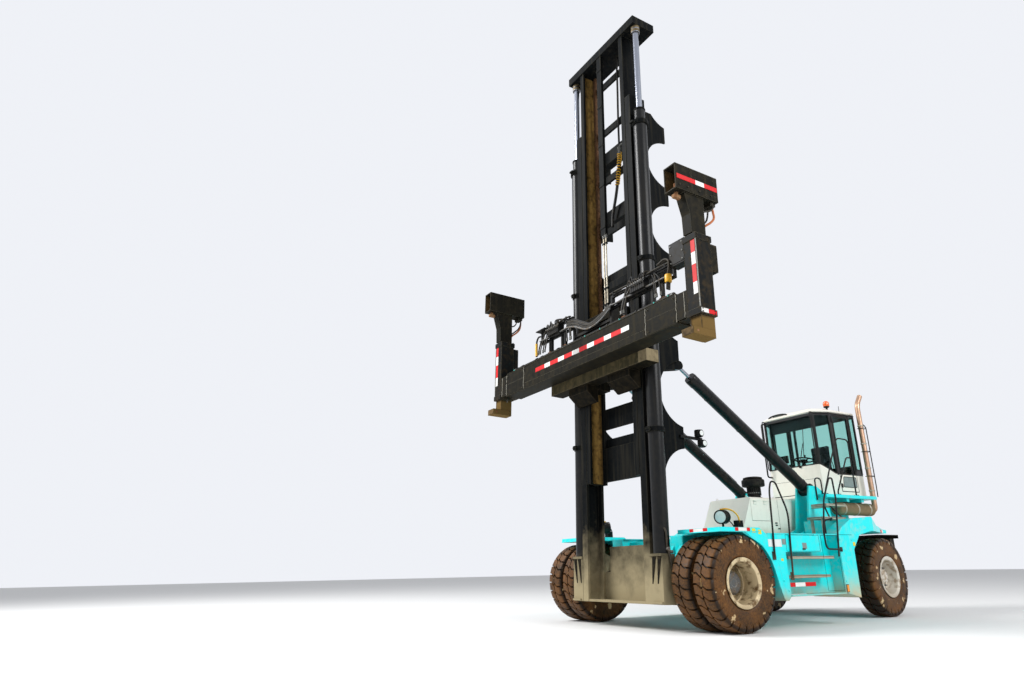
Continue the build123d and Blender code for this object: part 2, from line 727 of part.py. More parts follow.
tip_pitch = 1430
tip_top = 9172
tip_levels = [tip_top - tip_pitch * count for count in range(3)] + [4600, 3030]

mast_parts = []
for sign in (1, -1):
    rail = channel(sign * outer_rail_out, sign * outer_rail_in, mast_bottom, mast_top)
    gusset = box(sign * (gusset_x - 2), sign * (gusset_x + gusset_thick), rail_rear - 20, gusset_tip_y,
                 2420, mast_top - 250)
    middles = [(high + low) / 2 for high, low in zip(tip_levels[:-1], tip_levels[1:])]
    for middle, high, low in zip(middles, tip_levels[:-1], tip_levels[1:]):
        reach = (high - low - gusset_tip_height) / 2
        run = gusset_tip_y - rail_rear - 20
        radius = (reach * reach + run * run) / (2 * run)
        gusset -= rod_x(radius, sign * (gusset_x - 30), sign * (gusset_x + 60), rail_rear + 20 + radius,
                        middle)
    gusset -= rod_x(560, sign * (gusset_x - 30), sign * (gusset_x + 60), gusset_tip_y + 80, 2290)
    gusset -= rod_x(560, sign * (gusset_x - 30), sign * (gusset_x + 60), gusset_tip_y + 120, tip_top + 720)
    rail += gusset
    foot_y0, foot_y1 = lift_cylinder_y - lift_barrel_radius - 10, lift_cylinder_y + lift_barrel_radius + 10
    foot = box(sign * outer_rail_out, sign * foot_out, foot_y0 + 20, foot_y1, mast_bottom, 1090)
    foot += box(sign * outer_rail_out, sign * foot_out, foot_y0, foot_y1, 1060, lift_barrel_bottom)
    rail += foot
    ear = plate_x(
        [(rail_rear - 30, mast_pin_z - 180), (rail_rear - 30, mast_pin_z + 180),
         (mast_pin_y, mast_pin_z + ear_radius - 10), (mast_pin_y, mast_pin_z - ear_radius + 10)],
        sign * (outer_rail_in + 5), sign * (beam_outer - 90))
    ear += rod_x(ear_radius - 10, sign * (outer_rail_in + 5), sign * (beam_outer - 90), mast_pin_y,
                 mast_pin_z)
    ear -= rod_x(pin_radius + run_gap, sign * beam_inner, sign * beam_outer, mast_pin_y, mast_pin_z)
    rail += ear
    for inner, outer in ((tilt_x - 62, tilt_x - 36), (tilt_x + 36, tilt_x + 62)):
        bracket = plate_x(
            [(rail_rear + 10, tilt_mast_z + 330), (tilt_mast_y, tilt_mast_z + 80),
             (tilt_mast_y, tilt_mast_z - 80), (rail_rear + 10, tilt_mast_z - 200)],
            sign * inner, sign * outer)
        bracket += rod_x(80, sign * inner, sign * outer, tilt_mast_y, tilt_mast_z)
        rail += bracket
    rail += rod_x(tilt_pin_radius, sign * (tilt_x - 55), sign * (tilt_x + 55), tilt_mast_y, tilt_mast_z)
    mast_parts.append(rail)
for level in tip_levels:
    mast_parts.append(box(-gusset_x, gusset_x, rail_rear + 8, rail_rear + 200, level - 150, level + 150))
for edge in (-outer_rail_out, outer_rail_in):
    mast_parts.append(box(edge, edge + outer_rail_out - outer_rail_in, rail_rear - 5, rail_rear + 26,
                          mast_bottom, apron_side_top))
mast_parts.append(box(-outer_rail_out, outer_rail_out, rail_rear + 6, rail_rear + 26, mast_bottom,
                      apron_side_top))
mast_parts.append(box(10 - beam_inner, beam_inner - 10, rail_rear + 6, rail_rear + 26, mast_bottom,
                      apron_top))
mast_parts.append(box(-outer_rail_in - 5, outer_rail_in + 5, rail_front + 10, rail_rear, mast_bottom,
                      mast_bottom + 40))
outer_mast = joined(mast_parts)

barrel = rod_z(lift_barrel_radius, lift_barrel_bottom, lift_barrel_step, lift_cylinder_x, lift_cylinder_y)
barrel += rod_z(lift_gland_radius, lift_barrel_step - 10, lift_barrel_top, lift_cylinder_x, lift_cylinder_y)
barrel += rod_z(lift_barrel_radius + 6, lift_barrel_step - 70, lift_barrel_step + 20, lift_cylinder_x,
                lift_cylinder_y)
barrel -= rod_z(lift_barrel_bore, lift_barrel_bottom + 60, lift_barrel_top - 90, lift_cylinder_x,
                lift_cylinder_y)
barrel -= rod_z(lift_rod_radius + run_gap, lift_barrel_top - 100, lift_barrel_top + 10, lift_cylinder_x,
                lift_cylinder_y)
for level in (3000, 6100, 8820):
    barrel += box(outer_rail_out, lift_cylinder_x - 80, lift_cylinder_y - 40, lift_cylinder_y + 40, level,
                  level + 90) \
        - rod_z(lift_barrel_bore, level - 10, level + 100, lift_cylinder_x, lift_cylinder_y)
lamp_bar = box(gusset_x + gusset_thick, gusset_x + gusset_thick + 40, 60, 560, 3020, 3070)
lamp_bar += rod_z(75, 3070, 3190, gusset_x + gusset_thick + 60, 460)
lamp_bar += rod_z(75, 2900, 3020, gusset_x + gusset_thick + 60, 520)

# Inner mast with its crosshead, rods, chains and hose pipes

inner_parts = []
crosshead_bottom = crosshead_top - crosshead_height
for sign in (1, -1):
    inner_parts.append(channel(sign * inner_rail_out, sign * inner_rail_in, inner_mast_bottom,
                               crosshead_bottom + 5))
member_spans = [(inner_mast_bottom + 50, inner_mast_bottom + 660),
                (inner_mast_bottom + 1010, inner_mast_bottom + 1390)]
member_spans += [(crosshead_bottom - 502 - 1200 * count,
                  crosshead_bottom - 352 - 1200 * count) for count in range(6)]
for z0, z1 in member_spans:
    inner_parts.append(box(-inner_rail_in - 5, inner_rail_in + 5, rail_rear - 60, rail_rear - 10, z0, z1))
inner_parts.append(box(pole_x - pole_half, pole_x + pole_half, rail_front - 15, rail_front + 45, pole_low,
                       crosshead_bottom + 5))
inner_parts.append(box(-crosshead_half, crosshead_half, crosshead_front, crosshead_rear,
                       crosshead_top - crosshead_height, crosshead_top))
roller_radius = rail_depth / 2 - rail_flange - run_gap
rail_middle = rail_front + rail_depth / 2
for sign in (1, -1):
    for z in (inner_mast_bottom + 130, inner_mast_bottom + 1100):
        inner_parts.append(rod_x(roller_radius, sign * (inner_rail_out - 5),
                                 sign * (outer_rail_out - rail_web - run_gap),
                                 rail_middle, z))
inner_mast = joined(inner_parts)

lift_rod = rod_z(lift_rod_radius, lift_rod_bottom, crosshead_bottom, lift_cylinder_x, lift_cylinder_y)
lift_rod += rod_z(88, crosshead_bottom - 150, crosshead_bottom, lift_cylinder_x, lift_cylinder_y)
chain = box(chain_x - 35, chain_x + 35, rail_rear - 115, rail_rear - 85, chain_low, crosshead_bottom)
hose_pipes = []
for x in (pole_x - 25, pole_x + 45):
    hose_pipes.append(rod_z(15, pipe_low, pole_low, x, rail_front + 15))

# Carriage

pillar_rear = rail_rear - 125
carriage_parts = []
for sign in (1, -1):
    pillar = box(sign * 300, sign * (inner_rail_in - run_gap), rail_front - 220, pillar_rear,
                 carriage_bottom, carriage_top)
    skirt = plate_x([(rail_front - 30, 3780), (rail_front - 30, carriage_beam_bottom + 200),
                     (-780, carriage_beam_bottom + 200),
                     (carriage_beam_front + 60, carriage_beam_bottom + 20), (carriage_beam_front + 60,
                                                                             3960), (-780, 3780)],
                    sign * 300, sign * (outer_rail_out - 8))
    pillar += skirt
    for z in (carriage_bottom + 160, carriage_top - 160):
        pillar += rod_x(roller_radius, sign * (inner_rail_in + 12),
                        sign * (inner_rail_out - rail_web - run_gap),
                        rail_middle, z)
        pillar += rod_x(50, sign * (inner_rail_in - 20), sign * (inner_rail_in + 20), rail_middle, z)
    carriage_parts.append(pillar)
carriage_parts.append(box(-carriage_beam_half, carriage_beam_half, carriage_beam_front,
                          carriage_beam_front + carriage_beam_depth, carriage_beam_bottom,
                          carriage_beam_bottom + carriage_beam_height))
spreader_top = spreader_bottom + spreader_height
carriage_parts.append(box(-1100, 1100, carriage_beam_front + 60, -770, spreader_top - 140,
                          spreader_top - run_gap))
for sign in (1, -1):
    carriage_parts.append(box(sign * 300, sign * 500, carriage_beam_front + 60, -770,
                              carriage_beam_bottom, spreader_top - 50))
carriage_parts.append(box(-305, 305, rail_front - 215, rail_front - 95, carriage_top - 160, carriage_top))
carriage = joined(carriage_parts)

# Spreader: a beam with two pockets, one behind the other, for the two arms

spreader_rear = spreader_front + spreader_depth
pocket_depth = (spreader_depth - 3 * spreader_wall) / 2
front_pocket = (spreader_front + spreader_wall, spreader_front + spreader_wall + pocket_depth)
rear_pocket = (front_pocket[1] + spreader_wall, spreader_rear - spreader_wall)
beam = box(-spreader_half, spreader_half, spreader_front, spreader_rear, spreader_bottom, spreader_top)
beam -= box(-spreader_half + 60, spreader_half + 10, front_pocket[0], front_pocket[1],
            spreader_bottom + spreader_wall, spreader_top - spreader_wall)
beam -= box(-spreader_half - 10, spreader_half - 60, rear_pocket[0], rear_pocket[1],
            spreader_bottom + spreader_wall, spreader_top - spreader_wall)
for x in (-700, 700):
    hook = box(x - 120, x + 120, spreader_rear - 30, rail_front - 230, spreader_top, spreader_top + 25)
    beam += hook
rack_front = spreader_rear - 80
rack_rear = spreader_rear - 35
hydraulics = []
for drop in (0, 90):
    y = spreader_front + 120 + drop
    hydraulics.append(rod_x(36, -2350 + drop, 2300 - drop, y, spreader_top + 70 + drop * 0.6))
    for x in (-2200, -1100, 0, 1100, 2150):
        hydraulics.append(box(x - 20, x + 20, y - 25, y + 25, spreader_top, spreader_top + 80 + drop * 0.6))
# Rack frames over the beam. Columns: x from, x to
for x0, x1 in ((-1640, -520), (640, 2250)):
    for low in (rack_low, rack_high):
        hydraulics.append(box(x0, x1, rack_front, rack_rear, low, low + 45))
    for step in range(4):
        x = x0 + (x1 - x0 - 45) * step / 3
        hydraulics.append(box(x, x + 45, rack_front, rack_rear,
                              spreader_top if step in (1, 2) else rack_low, rack_high + 45))
    middle = (x0 + x1) / 2
    hydraulics.append(box(middle - 190, middle + 190, rack_front - 70, rack_rear - 20, rack_low + 20,
                          rack_high + 20))
hydraulics.append(box(-1660, -1330, rack_front - 120, rack_rear, rack_high + 44, rack_high + 60))
hydraulics.append(box(2230, 2560, rack_front - 60, rack_rear + 60, rack_high - 60, rack_high + 330))
hydraulics.append(box(-520, 650, rack_front, rack_rear, rack_low - 200, rack_low - 150))
for x in (-520, 605):
    hydraulics.append(box(x, x + 45, rack_front, rack_rear, spreader_top, rack_low + 10))
plumbing = joined(hydraulics)

arm_parts = {}
for side, sign, pocket in (("left", 1, front_pocket), ("right", -1, rear_pocket)):
    arm_z0 = spreader_bottom + spreader_wall + run_gap
    arm_z1 = spreader_top - spreader_wall - slide_gap
    post_in = post_outer - post_width
    arm = box(sign * (-spreader_half + 80 + slide_gap), sign * (post_in + 1), pocket[0] + slide_gap,
              pocket[1] - slide_gap, arm_z0, arm_z1)
    post_rear = post_front + post_depth
    arm += box(sign * (post_in - 60), sign * (post_in + 1), post_front + 20, post_rear - 10, arm_z0, arm_z1)
    sleeve = box(sign * post_in, sign * post_outer, post_front, post_rear, sleeve_bottom, sleeve_top)
    for z0, z1 in ((sleeve_bottom, sleeve_bottom + 95), (sleeve_top - 95, sleeve_top)):
        sleeve += box(sign * (post_in - 15), sign * (post_outer + 15), post_front - 15, post_rear + 15,
                      z0, z1)
    sleeve -= box(sign * (post_in + sleeve_wall), sign * (post_outer - sleeve_wall),
                  post_front + sleeve_wall,
                  post_rear - sleeve_wall, sleeve_bottom + 60, sleeve_top - 95)
    sleeve -= box(sign * (post_in + post_inset), sign * (post_outer - post_inset),
                  post_front + post_set_back,
                  post_rear - post_inset, sleeve_top - 100, sleeve_top + 10)
    foot = box(sign * (post_in + 15), sign * (post_outer - 15), post_front + 30, post_rear - 20,
               foot_bottom, sleeve_bottom)
    foot += box(sign * (post_in + 5), sign * (post_outer - 5), foot_front, post_rear - 60, foot_bottom,
                foot_bottom + 110)
    control_box = box(sign * (post_in + 30), sign * (post_outer - 5), post_rear, post_rear + 130, 5000,
                      5440)
    whole = arm + sleeve + foot + control_box
    arm_parts[side] = whole

post_parts = {}
lock_parts = {}
lock_x = post_outer - post_width / 2
lock_y = head_front + lock_set_back
inset = post_inset + run_gap
for side, sign in (("left", 1), ("right", -1)):
    post = box(sign * (post_in + inset), sign * (post_outer - inset), post_front + post_set_back + run_gap,
               post_rear - inset, sleeve_bottom + 400, head_bottom + 20)
    for edge in (inset, post_width - inset - 22):
        post += plate_x([(post_front + post_set_back + 5, sleeve_top + 20),
                         (post_front - 20, sleeve_top + 20),
                         (post_front - 30, sleeve_top + 330), (bracket_front + 10, head_bottom - 60),
                         (bracket_front, head_bottom + 5), (post_front + post_set_back + 5,
                                                            head_bottom + 5)],
                        sign * (post_in + edge), sign * (post_in + edge + 22))
    post += plate_x([(post_front - 20, sleeve_top + 20), (post_front - 30, sleeve_top + 330),
                     (bracket_front + 10, head_bottom - 60), (bracket_front, head_bottom + 5),
                     (bracket_front + 20, head_bottom + 5), (bracket_front + 30, head_bottom - 60),
                     (post_front - 10, sleeve_top + 330), (post_front, sleeve_top + 20)],
                    sign * (post_in + inset), sign * (post_outer - inset))
    head = box(sign * post_in, sign * post_outer, head_front, head_rear, head_bottom,
               head_bottom + head_height)
    head -= box(sign * (post_in + head_wall), sign * (post_outer - head_wall), head_front - 10,
                head_front + 320,
                head_bottom + head_wall, head_bottom + head_height - head_wall)
    head -= rod_z(lock_shank + run_gap, head_bottom - 10, head_bottom + head_wall + 10, sign * lock_x,
                  lock_y)
    post_parts[side] = post + head
    lock = rod_z(lock_shank, head_bottom - lock_drop - 10, head_bottom + 150, sign * lock_x, lock_y)
    lock += rod_z(60, head_bottom + head_wall + run_gap, head_bottom + 60, sign * lock_x, lock_y)
    lock += box(sign * lock_x - lock_half_width, sign * lock_x + lock_half_width, lock_y - lock_half_length,
                lock_y + lock_half_length, head_bottom - lock_drop - lock_thick, head_bottom - lock_drop)
    lock_parts[side] = lock

# Lean the mast back about its pin

lean_place = Pos(0, mast_pin_y, mast_pin_z) * Rot(-lean_back, 0, 0) * Pos(0, -mast_pin_y, -mast_pin_z)


def leaned(shapes):
    return [lean_place * shape for shape in (shapes if isinstance(shapes, list) else [shapes])]


def lean_point(y, z):
    angle = math.radians(lean_back)
    dy, dz = y - mast_pin_y, z - mast_pin_z
    return (mast_pin_y + dy * math.cos(angle) + dz * math.sin(angle),
            mast_pin_z - dy * math.sin(angle) + dz * math.cos(angle))


keep("outer_mast", leaned(outer_mast))
keep("lift_cylinders", leaned(both(barrel)))
keep("mast_lamps", leaned(both(lamp_bar)))
keep("inner_mast", leaned(inner_mast))
keep("lift_rods", leaned(both(lift_rod)))
keep("lift_chains", leaned(both(chain)))
keep("mast_pipes", leaned(hose_pipes))
keep("carriage", leaned(carriage))
keep("spreader_beam", leaned(beam))
keep("spreader_hydraulics", leaned(plumbing))
for side in ("left", "right"):
    keep(f"spreader_arm_{side}", leaned(arm_parts[side]))
    keep(f"lift_post_{side}", leaned(post_parts[side]))
    keep(f"twistlock_{side}", leaned(lock_parts[side]))

# Tilt cylinders between the towers and the leaned mast

eye_y, eye_z = lean_point(tilt_mast_y, tilt_mast_z)
reach = math.hypot(eye_y - tilt_chassis_y, eye_z - tilt_chassis_z)
aim_y = (eye_y - tilt_chassis_y) / reach
aim_z = (eye_z - tilt_chassis_z) / reach


def along(distance, x):
    return (x, tilt_chassis_y + aim_y * distance, tilt_chassis_z + aim_z * distance)


for side, sign in (("left", 1), ("right", -1)):
    x = sign * tilt_x
    barrel = rod_between(along(90, x), along(reach - tilt_gland_back, x), tilt_barrel_radius)
    barrel += rod_x(110, x - 105, x + 105, tilt_chassis_y, tilt_chassis_z)
    barrel -= rod_x(40 + run_gap, x - 120, x + 120, tilt_chassis_y, tilt_chassis_z)
    barrel -= rod_between(along(2300, x), along(reach, x), tilt_rod_radius + run_gap)
    rod = rod_between(along(2700, x), along(reach - 60, x), tilt_rod_radius)
    rod += rod_x(tilt_eye_radius, x - tilt_eye_width / 2, x + tilt_eye_width / 2, eye_y, eye_z)
    rod -= rod_x(tilt_eye_bore, x - 60, x + 60, eye_y, eye_z)
    keep(f"tilt_barrel_{side}", barrel)
    keep(f"tilt_rod_{side}", rod)

# Slide along Y, then write one file for each node

whole = Compound(list(nodes.values())).bounding_box()
shift_y = -(whole.min.Y + whole.max.Y) / 2
os.makedirs("parts", exist_ok=True)
for name, shape in nodes.items():
    export_step(Pos(0, shift_y, 0) * shape, f"parts/{name}.step")

up_y, up_z = math.sin(math.radians(lean_back)), math.cos(math.radians(lean_back))
out_y, out_z = math.cos(math.radians(lean_back)), -math.sin(math.radians(lean_back))
lock_y0, lock_z0 = lean_point(lock_y, head_bottom)
rest = math.radians(steer_rest)
arm_x = (steer_disc_x - kingpin_x) * math.cos(rest)
arm_y = (steer_disc_x - kingpin_x) * math.sin(rest)
foot_y0, foot_z0 = lean_point(foot_front, foot_bottom + 55)
places = {
    "shift_y": shift_y,
    "box": [whole.min.X, whole.min.Y, whole.min.Z, whole.max.X, whole.max.Y, whole.max.Z],
    "mast_up": [0, up_y, up_z],
    "mast_out": [0, out_y, out_z],
    "lock": [lock_x, lock_y0 + shift_y, lock_z0],
    "tilt_eye": [tilt_x, eye_y + shift_y, eye_z],
    "tilt_chassis": [tilt_x, tilt_chassis_y + shift_y, tilt_chassis_z],
    "tilt_aim": [0, aim_y, aim_z],
    "tilt_reach": reach,
    "mast_pin": [0, mast_pin_y + shift_y, mast_pin_z],
    "foot_face": [lock_x, foot_y0 + shift_y, foot_z0],
    "kingpin": [kingpin_x, wheelbase + shift_y, axle_height],
    "drive_axle": [(inner_tyre_in + half_width) / 2, shift_y, axle_height],
    "steer_spin": [math.cos(rest), math.sin(rest), 0],
    "steer_wheel_left": [kingpin_x + arm_x, wheelbase + arm_y + shift_y, axle_height],
    "steer_wheel_right": [-kingpin_x - arm_x, wheelbase - arm_y + shift_y, axle_height],
    "door_hinge": [cab_half + hinge_out, door_front + shift_y, cab_floor],
    "hatch_hinge": [hood_half + hinge_out, hatch_front + shift_y, hatch_top + 2],
    "tow": [0, tow_y + shift_y, 765],
    "ranges": [steer_lock, steer_rest, mast_lower, mast_raise, side_shift, spread_out, post_raise,
               tilt_back_more, tilt_forward,
               hatch_open, door_open, lock_turn],
}
for name, value in places.items():
    print("place", name, value)
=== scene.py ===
import math

import bmesh
import bpy
import numpy as np
from mathutils import Matrix, Vector


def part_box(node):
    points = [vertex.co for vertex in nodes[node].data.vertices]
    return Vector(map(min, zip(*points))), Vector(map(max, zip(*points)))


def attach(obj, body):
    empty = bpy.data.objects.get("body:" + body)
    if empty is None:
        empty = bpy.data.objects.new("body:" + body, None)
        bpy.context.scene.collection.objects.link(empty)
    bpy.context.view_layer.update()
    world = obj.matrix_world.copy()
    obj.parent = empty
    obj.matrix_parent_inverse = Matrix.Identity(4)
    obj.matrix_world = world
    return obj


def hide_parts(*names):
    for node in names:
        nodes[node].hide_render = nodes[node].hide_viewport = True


# Looks of an empty container handler. Metres; the machine faces -Y and +X is its left side.
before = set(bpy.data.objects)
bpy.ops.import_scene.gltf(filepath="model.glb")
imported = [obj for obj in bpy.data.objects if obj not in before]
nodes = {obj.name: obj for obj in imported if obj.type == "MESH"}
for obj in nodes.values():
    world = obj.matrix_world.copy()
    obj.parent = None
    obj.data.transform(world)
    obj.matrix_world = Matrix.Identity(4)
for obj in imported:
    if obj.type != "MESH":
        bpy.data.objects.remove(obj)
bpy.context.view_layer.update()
scene = bpy.context.scene
lowHub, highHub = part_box("drive_rims_left")
axleY = (lowHub.y + highHub.y) / 2  # the drive axle; the photo's measures start from it
wheelbase, tyreRadius, bodyHalf, deckTop = 4.4, 0.685, 2.05, 1.47
print("frame loaded, drive axle at y", round(axleY, 3))

# Camera: solved from the photo; position is measured from the drive axle
camSettings = {"place": (9.489, -8.216, 0.931), "yaw": 59.44, "pitch": 18.31, "roll": -1.014, "focal": 688.2,
               "photoWidth": 1024, "sensor": 36.0}


def addCamera(s):
    # looks along the yaw and pitch; roll turns its right and up about that line
    yaw, pitch, roll = (math.radians(s[key]) for key in ("yaw", "pitch", "roll"))
    forward = Vector((-math.sin(yaw) * math.cos(pitch), math.cos(yaw) * math.cos(pitch), math.sin(pitch)))
    right = forward.cross(Vector((0, 0, 1))).normalized()
    up = right.cross(forward)
    right, up = (right * math.cos(roll) + up * math.sin(roll), up * math.cos(roll) - right * math.sin(roll))
    data = bpy.data.cameras.new("photoCamera")
    data.sensor_fit = "HORIZONTAL"
    data.sensor_width = s["sensor"]
    data.lens = s["focal"] / s["photoWidth"] * s["sensor"]
    data.clip_end = 500
    cam = bpy.data.objects.new("photoCamera", data)
    scene.collection.objects.link(cam)
    x, y, z = s["place"]
    turn = Matrix((right, up, -forward)).transposed().to_4x4()
    cam.matrix_world = Matrix.Translation((x, y + axleY, z)) @ turn
    scene.camera = cam


addCamera(camSettings)

# Shader parts. Each group is built once and placed in every material that uses it.


def put(tree, kind, values=None, **props):
    # adds one shader node, sets its properties, and sets or links its inputs
    made = tree.nodes.new("ShaderNode" + kind)
    for key, value in props.items():
        setattr(made, key, value)
    for key, value in (values or {}).items():
        if isinstance(value, bpy.types.NodeSocket):
            tree.links.new(value, made.inputs[key])
        else:
            made.inputs[key].default_value = value
    return made


def newGroup(name, inputs, outputs):
    # an empty node group: inputs are (name, default), outputs are (name, socket type)
    tree = bpy.data.node_groups.new(name, "ShaderNodeTree")
    for label, default in inputs:
        tree.interface.new_socket(label, in_out="INPUT", socket_type="NodeSocketFloat").default_value = default
    for label, kind in outputs:
        tree.interface.new_socket(label, in_out="OUTPUT", socket_type=kind)
    return tree, tree.nodes.new("NodeGroupInput").outputs, tree.nodes.new("NodeGroupOutput").inputs


def calc(tree, operation, a, b=0.5):
    return put(tree, "Math", {0: a, 1: b}, operation=operation).outputs[0]


def times(tree, a, b):
    return calc(tree, "MULTIPLY", a, b)


def remap(tree, value, low, high, start=0.0, end=1.0):
    # low to high becomes start to end, held at both ends
    return put(tree, "MapRange", {"Value": value, 1: low, 2: high, 3: start, 4: end}).outputs[0]


def noiseField(tree, coords, scale, detail, rough=0.5):
    return put(tree, "TexNoise", {"Vector": coords, "Scale": scale, "Detail": detail, "Roughness": rough}).outputs[0]


def newMaterial(name):
    # a material with its node tree and its Principled shader
    mat = bpy.data.materials.new(name)
    mat.use_nodes = True
    return mat, mat.node_tree, mat.node_tree.nodes["Principled BSDF"]


def blendColor(tree, mask, first, second):
    return put(tree, "Mix", {0: mask, 6: first, 7: second}, data_type="RGBA").outputs[2]


def buildSoil():
    # soil is thick below Low and gone above High, its edge broken by noise; Patches adds loose spots anywhere
    tree, given, out = newGroup("soil", [("Low", 0.4), ("High", 1.2), ("Patches", 0.3), ("Scale", 3.0)],
                                [("Mask", "NodeSocketFloat")])
    coords = put(tree, "TexCoord").outputs["Object"]
    height = put(tree, "SeparateXYZ", {0: coords}).outputs["Z"]
    noise = noiseField(tree, coords, given["Scale"], 9.0, 0.62)
    shaken = calc(tree, "ADD", height,
                  times(tree, calc(tree, "SUBTRACT", noise, 0.5),
                        times(tree, calc(tree, "SUBTRACT", given["High"], given["Low"]), 1.4)))
    ramp = remap(tree, shaken, given["Low"], given["High"], 1.0, 0.0)
    fine = noiseField(tree, coords, times(tree, given["Scale"], 4.0), 6.0)
    spots = times(tree, given["Patches"], remap(tree, times(tree, noise, fine), 0.22, 0.38))
    tree.links.new(calc(tree, "MAXIMUM", ramp, spots), out["Mask"])
    return tree


def buildEdge():
    # edge wear: where the rounded normal leaves the flat one, broken by fine noise
    tree, given, out = newGroup("edgeWear", [("Radius", 0.012), ("Amount", 1.0), ("Scale", 18.0)],
                                [("Mask", "NodeSocketFloat"), ("Normal", "NodeSocketVector")])
    rounded = put(tree, "Bevel", {"Radius": given["Radius"]}, samples=4).outputs[0]
    flat = put(tree, "NewGeometry").outputs["Normal"]
    turn = calc(tree, "SUBTRACT", 1.0,
                put(tree, "VectorMath", {0: rounded, 1: flat}, operation="DOT_PRODUCT").outputs["Value"])
    coords = put(tree, "TexCoord").outputs["Object"]
    noise = noiseField(tree, coords, given["Scale"], 8.0)
    worn = remap(tree, times(tree, turn, times(tree, noise, 4.0)), 0.05, 0.3)
    tree.links.new(times(tree, worn, given["Amount"]), out["Mask"])
    tree.links.new(rounded, out["Normal"])
    return tree


def buildGrain():
    # fine orange-peel height and slow changes of tone; Streak runs the tone down the Z axis
    tree, given, out = newGroup("grain", [("Scale", 60.0), ("Tone", 0.12), ("Streak", 0.2)],
                                [("Height", "NodeSocketFloat"), ("Tone", "NodeSocketFloat"),
                                 ("Runs", "NodeSocketFloat")])
    coords = put(tree, "TexCoord").outputs["Object"]
    fine = noiseField(tree, coords, given["Scale"], 3.0)
    slow = noiseField(tree, coords, 1.3, 5.0)
    drawn = put(tree, "Mapping", {"Vector": coords, "Scale": (14.0, 14.0, 0.5)}).outputs[0]
    streak = noiseField(tree, drawn, 1.0, 5.0)
    tone = calc(tree, "ADD", times(tree, calc(tree, "SUBTRACT", slow, 0.5), given["Tone"]),
                times(tree, calc(tree, "SUBTRACT", streak, 0.5), given["Streak"]))
    tree.links.new(fine, out["Height"])
    tree.links.new(tone, out["Tone"])
    tree.links.new(remap(tree, streak, 0.5, 0.72), out["Runs"])
    return tree


soilGroup, edgeGroup, grainGroup = buildSoil(), buildEdge(), buildGrain()

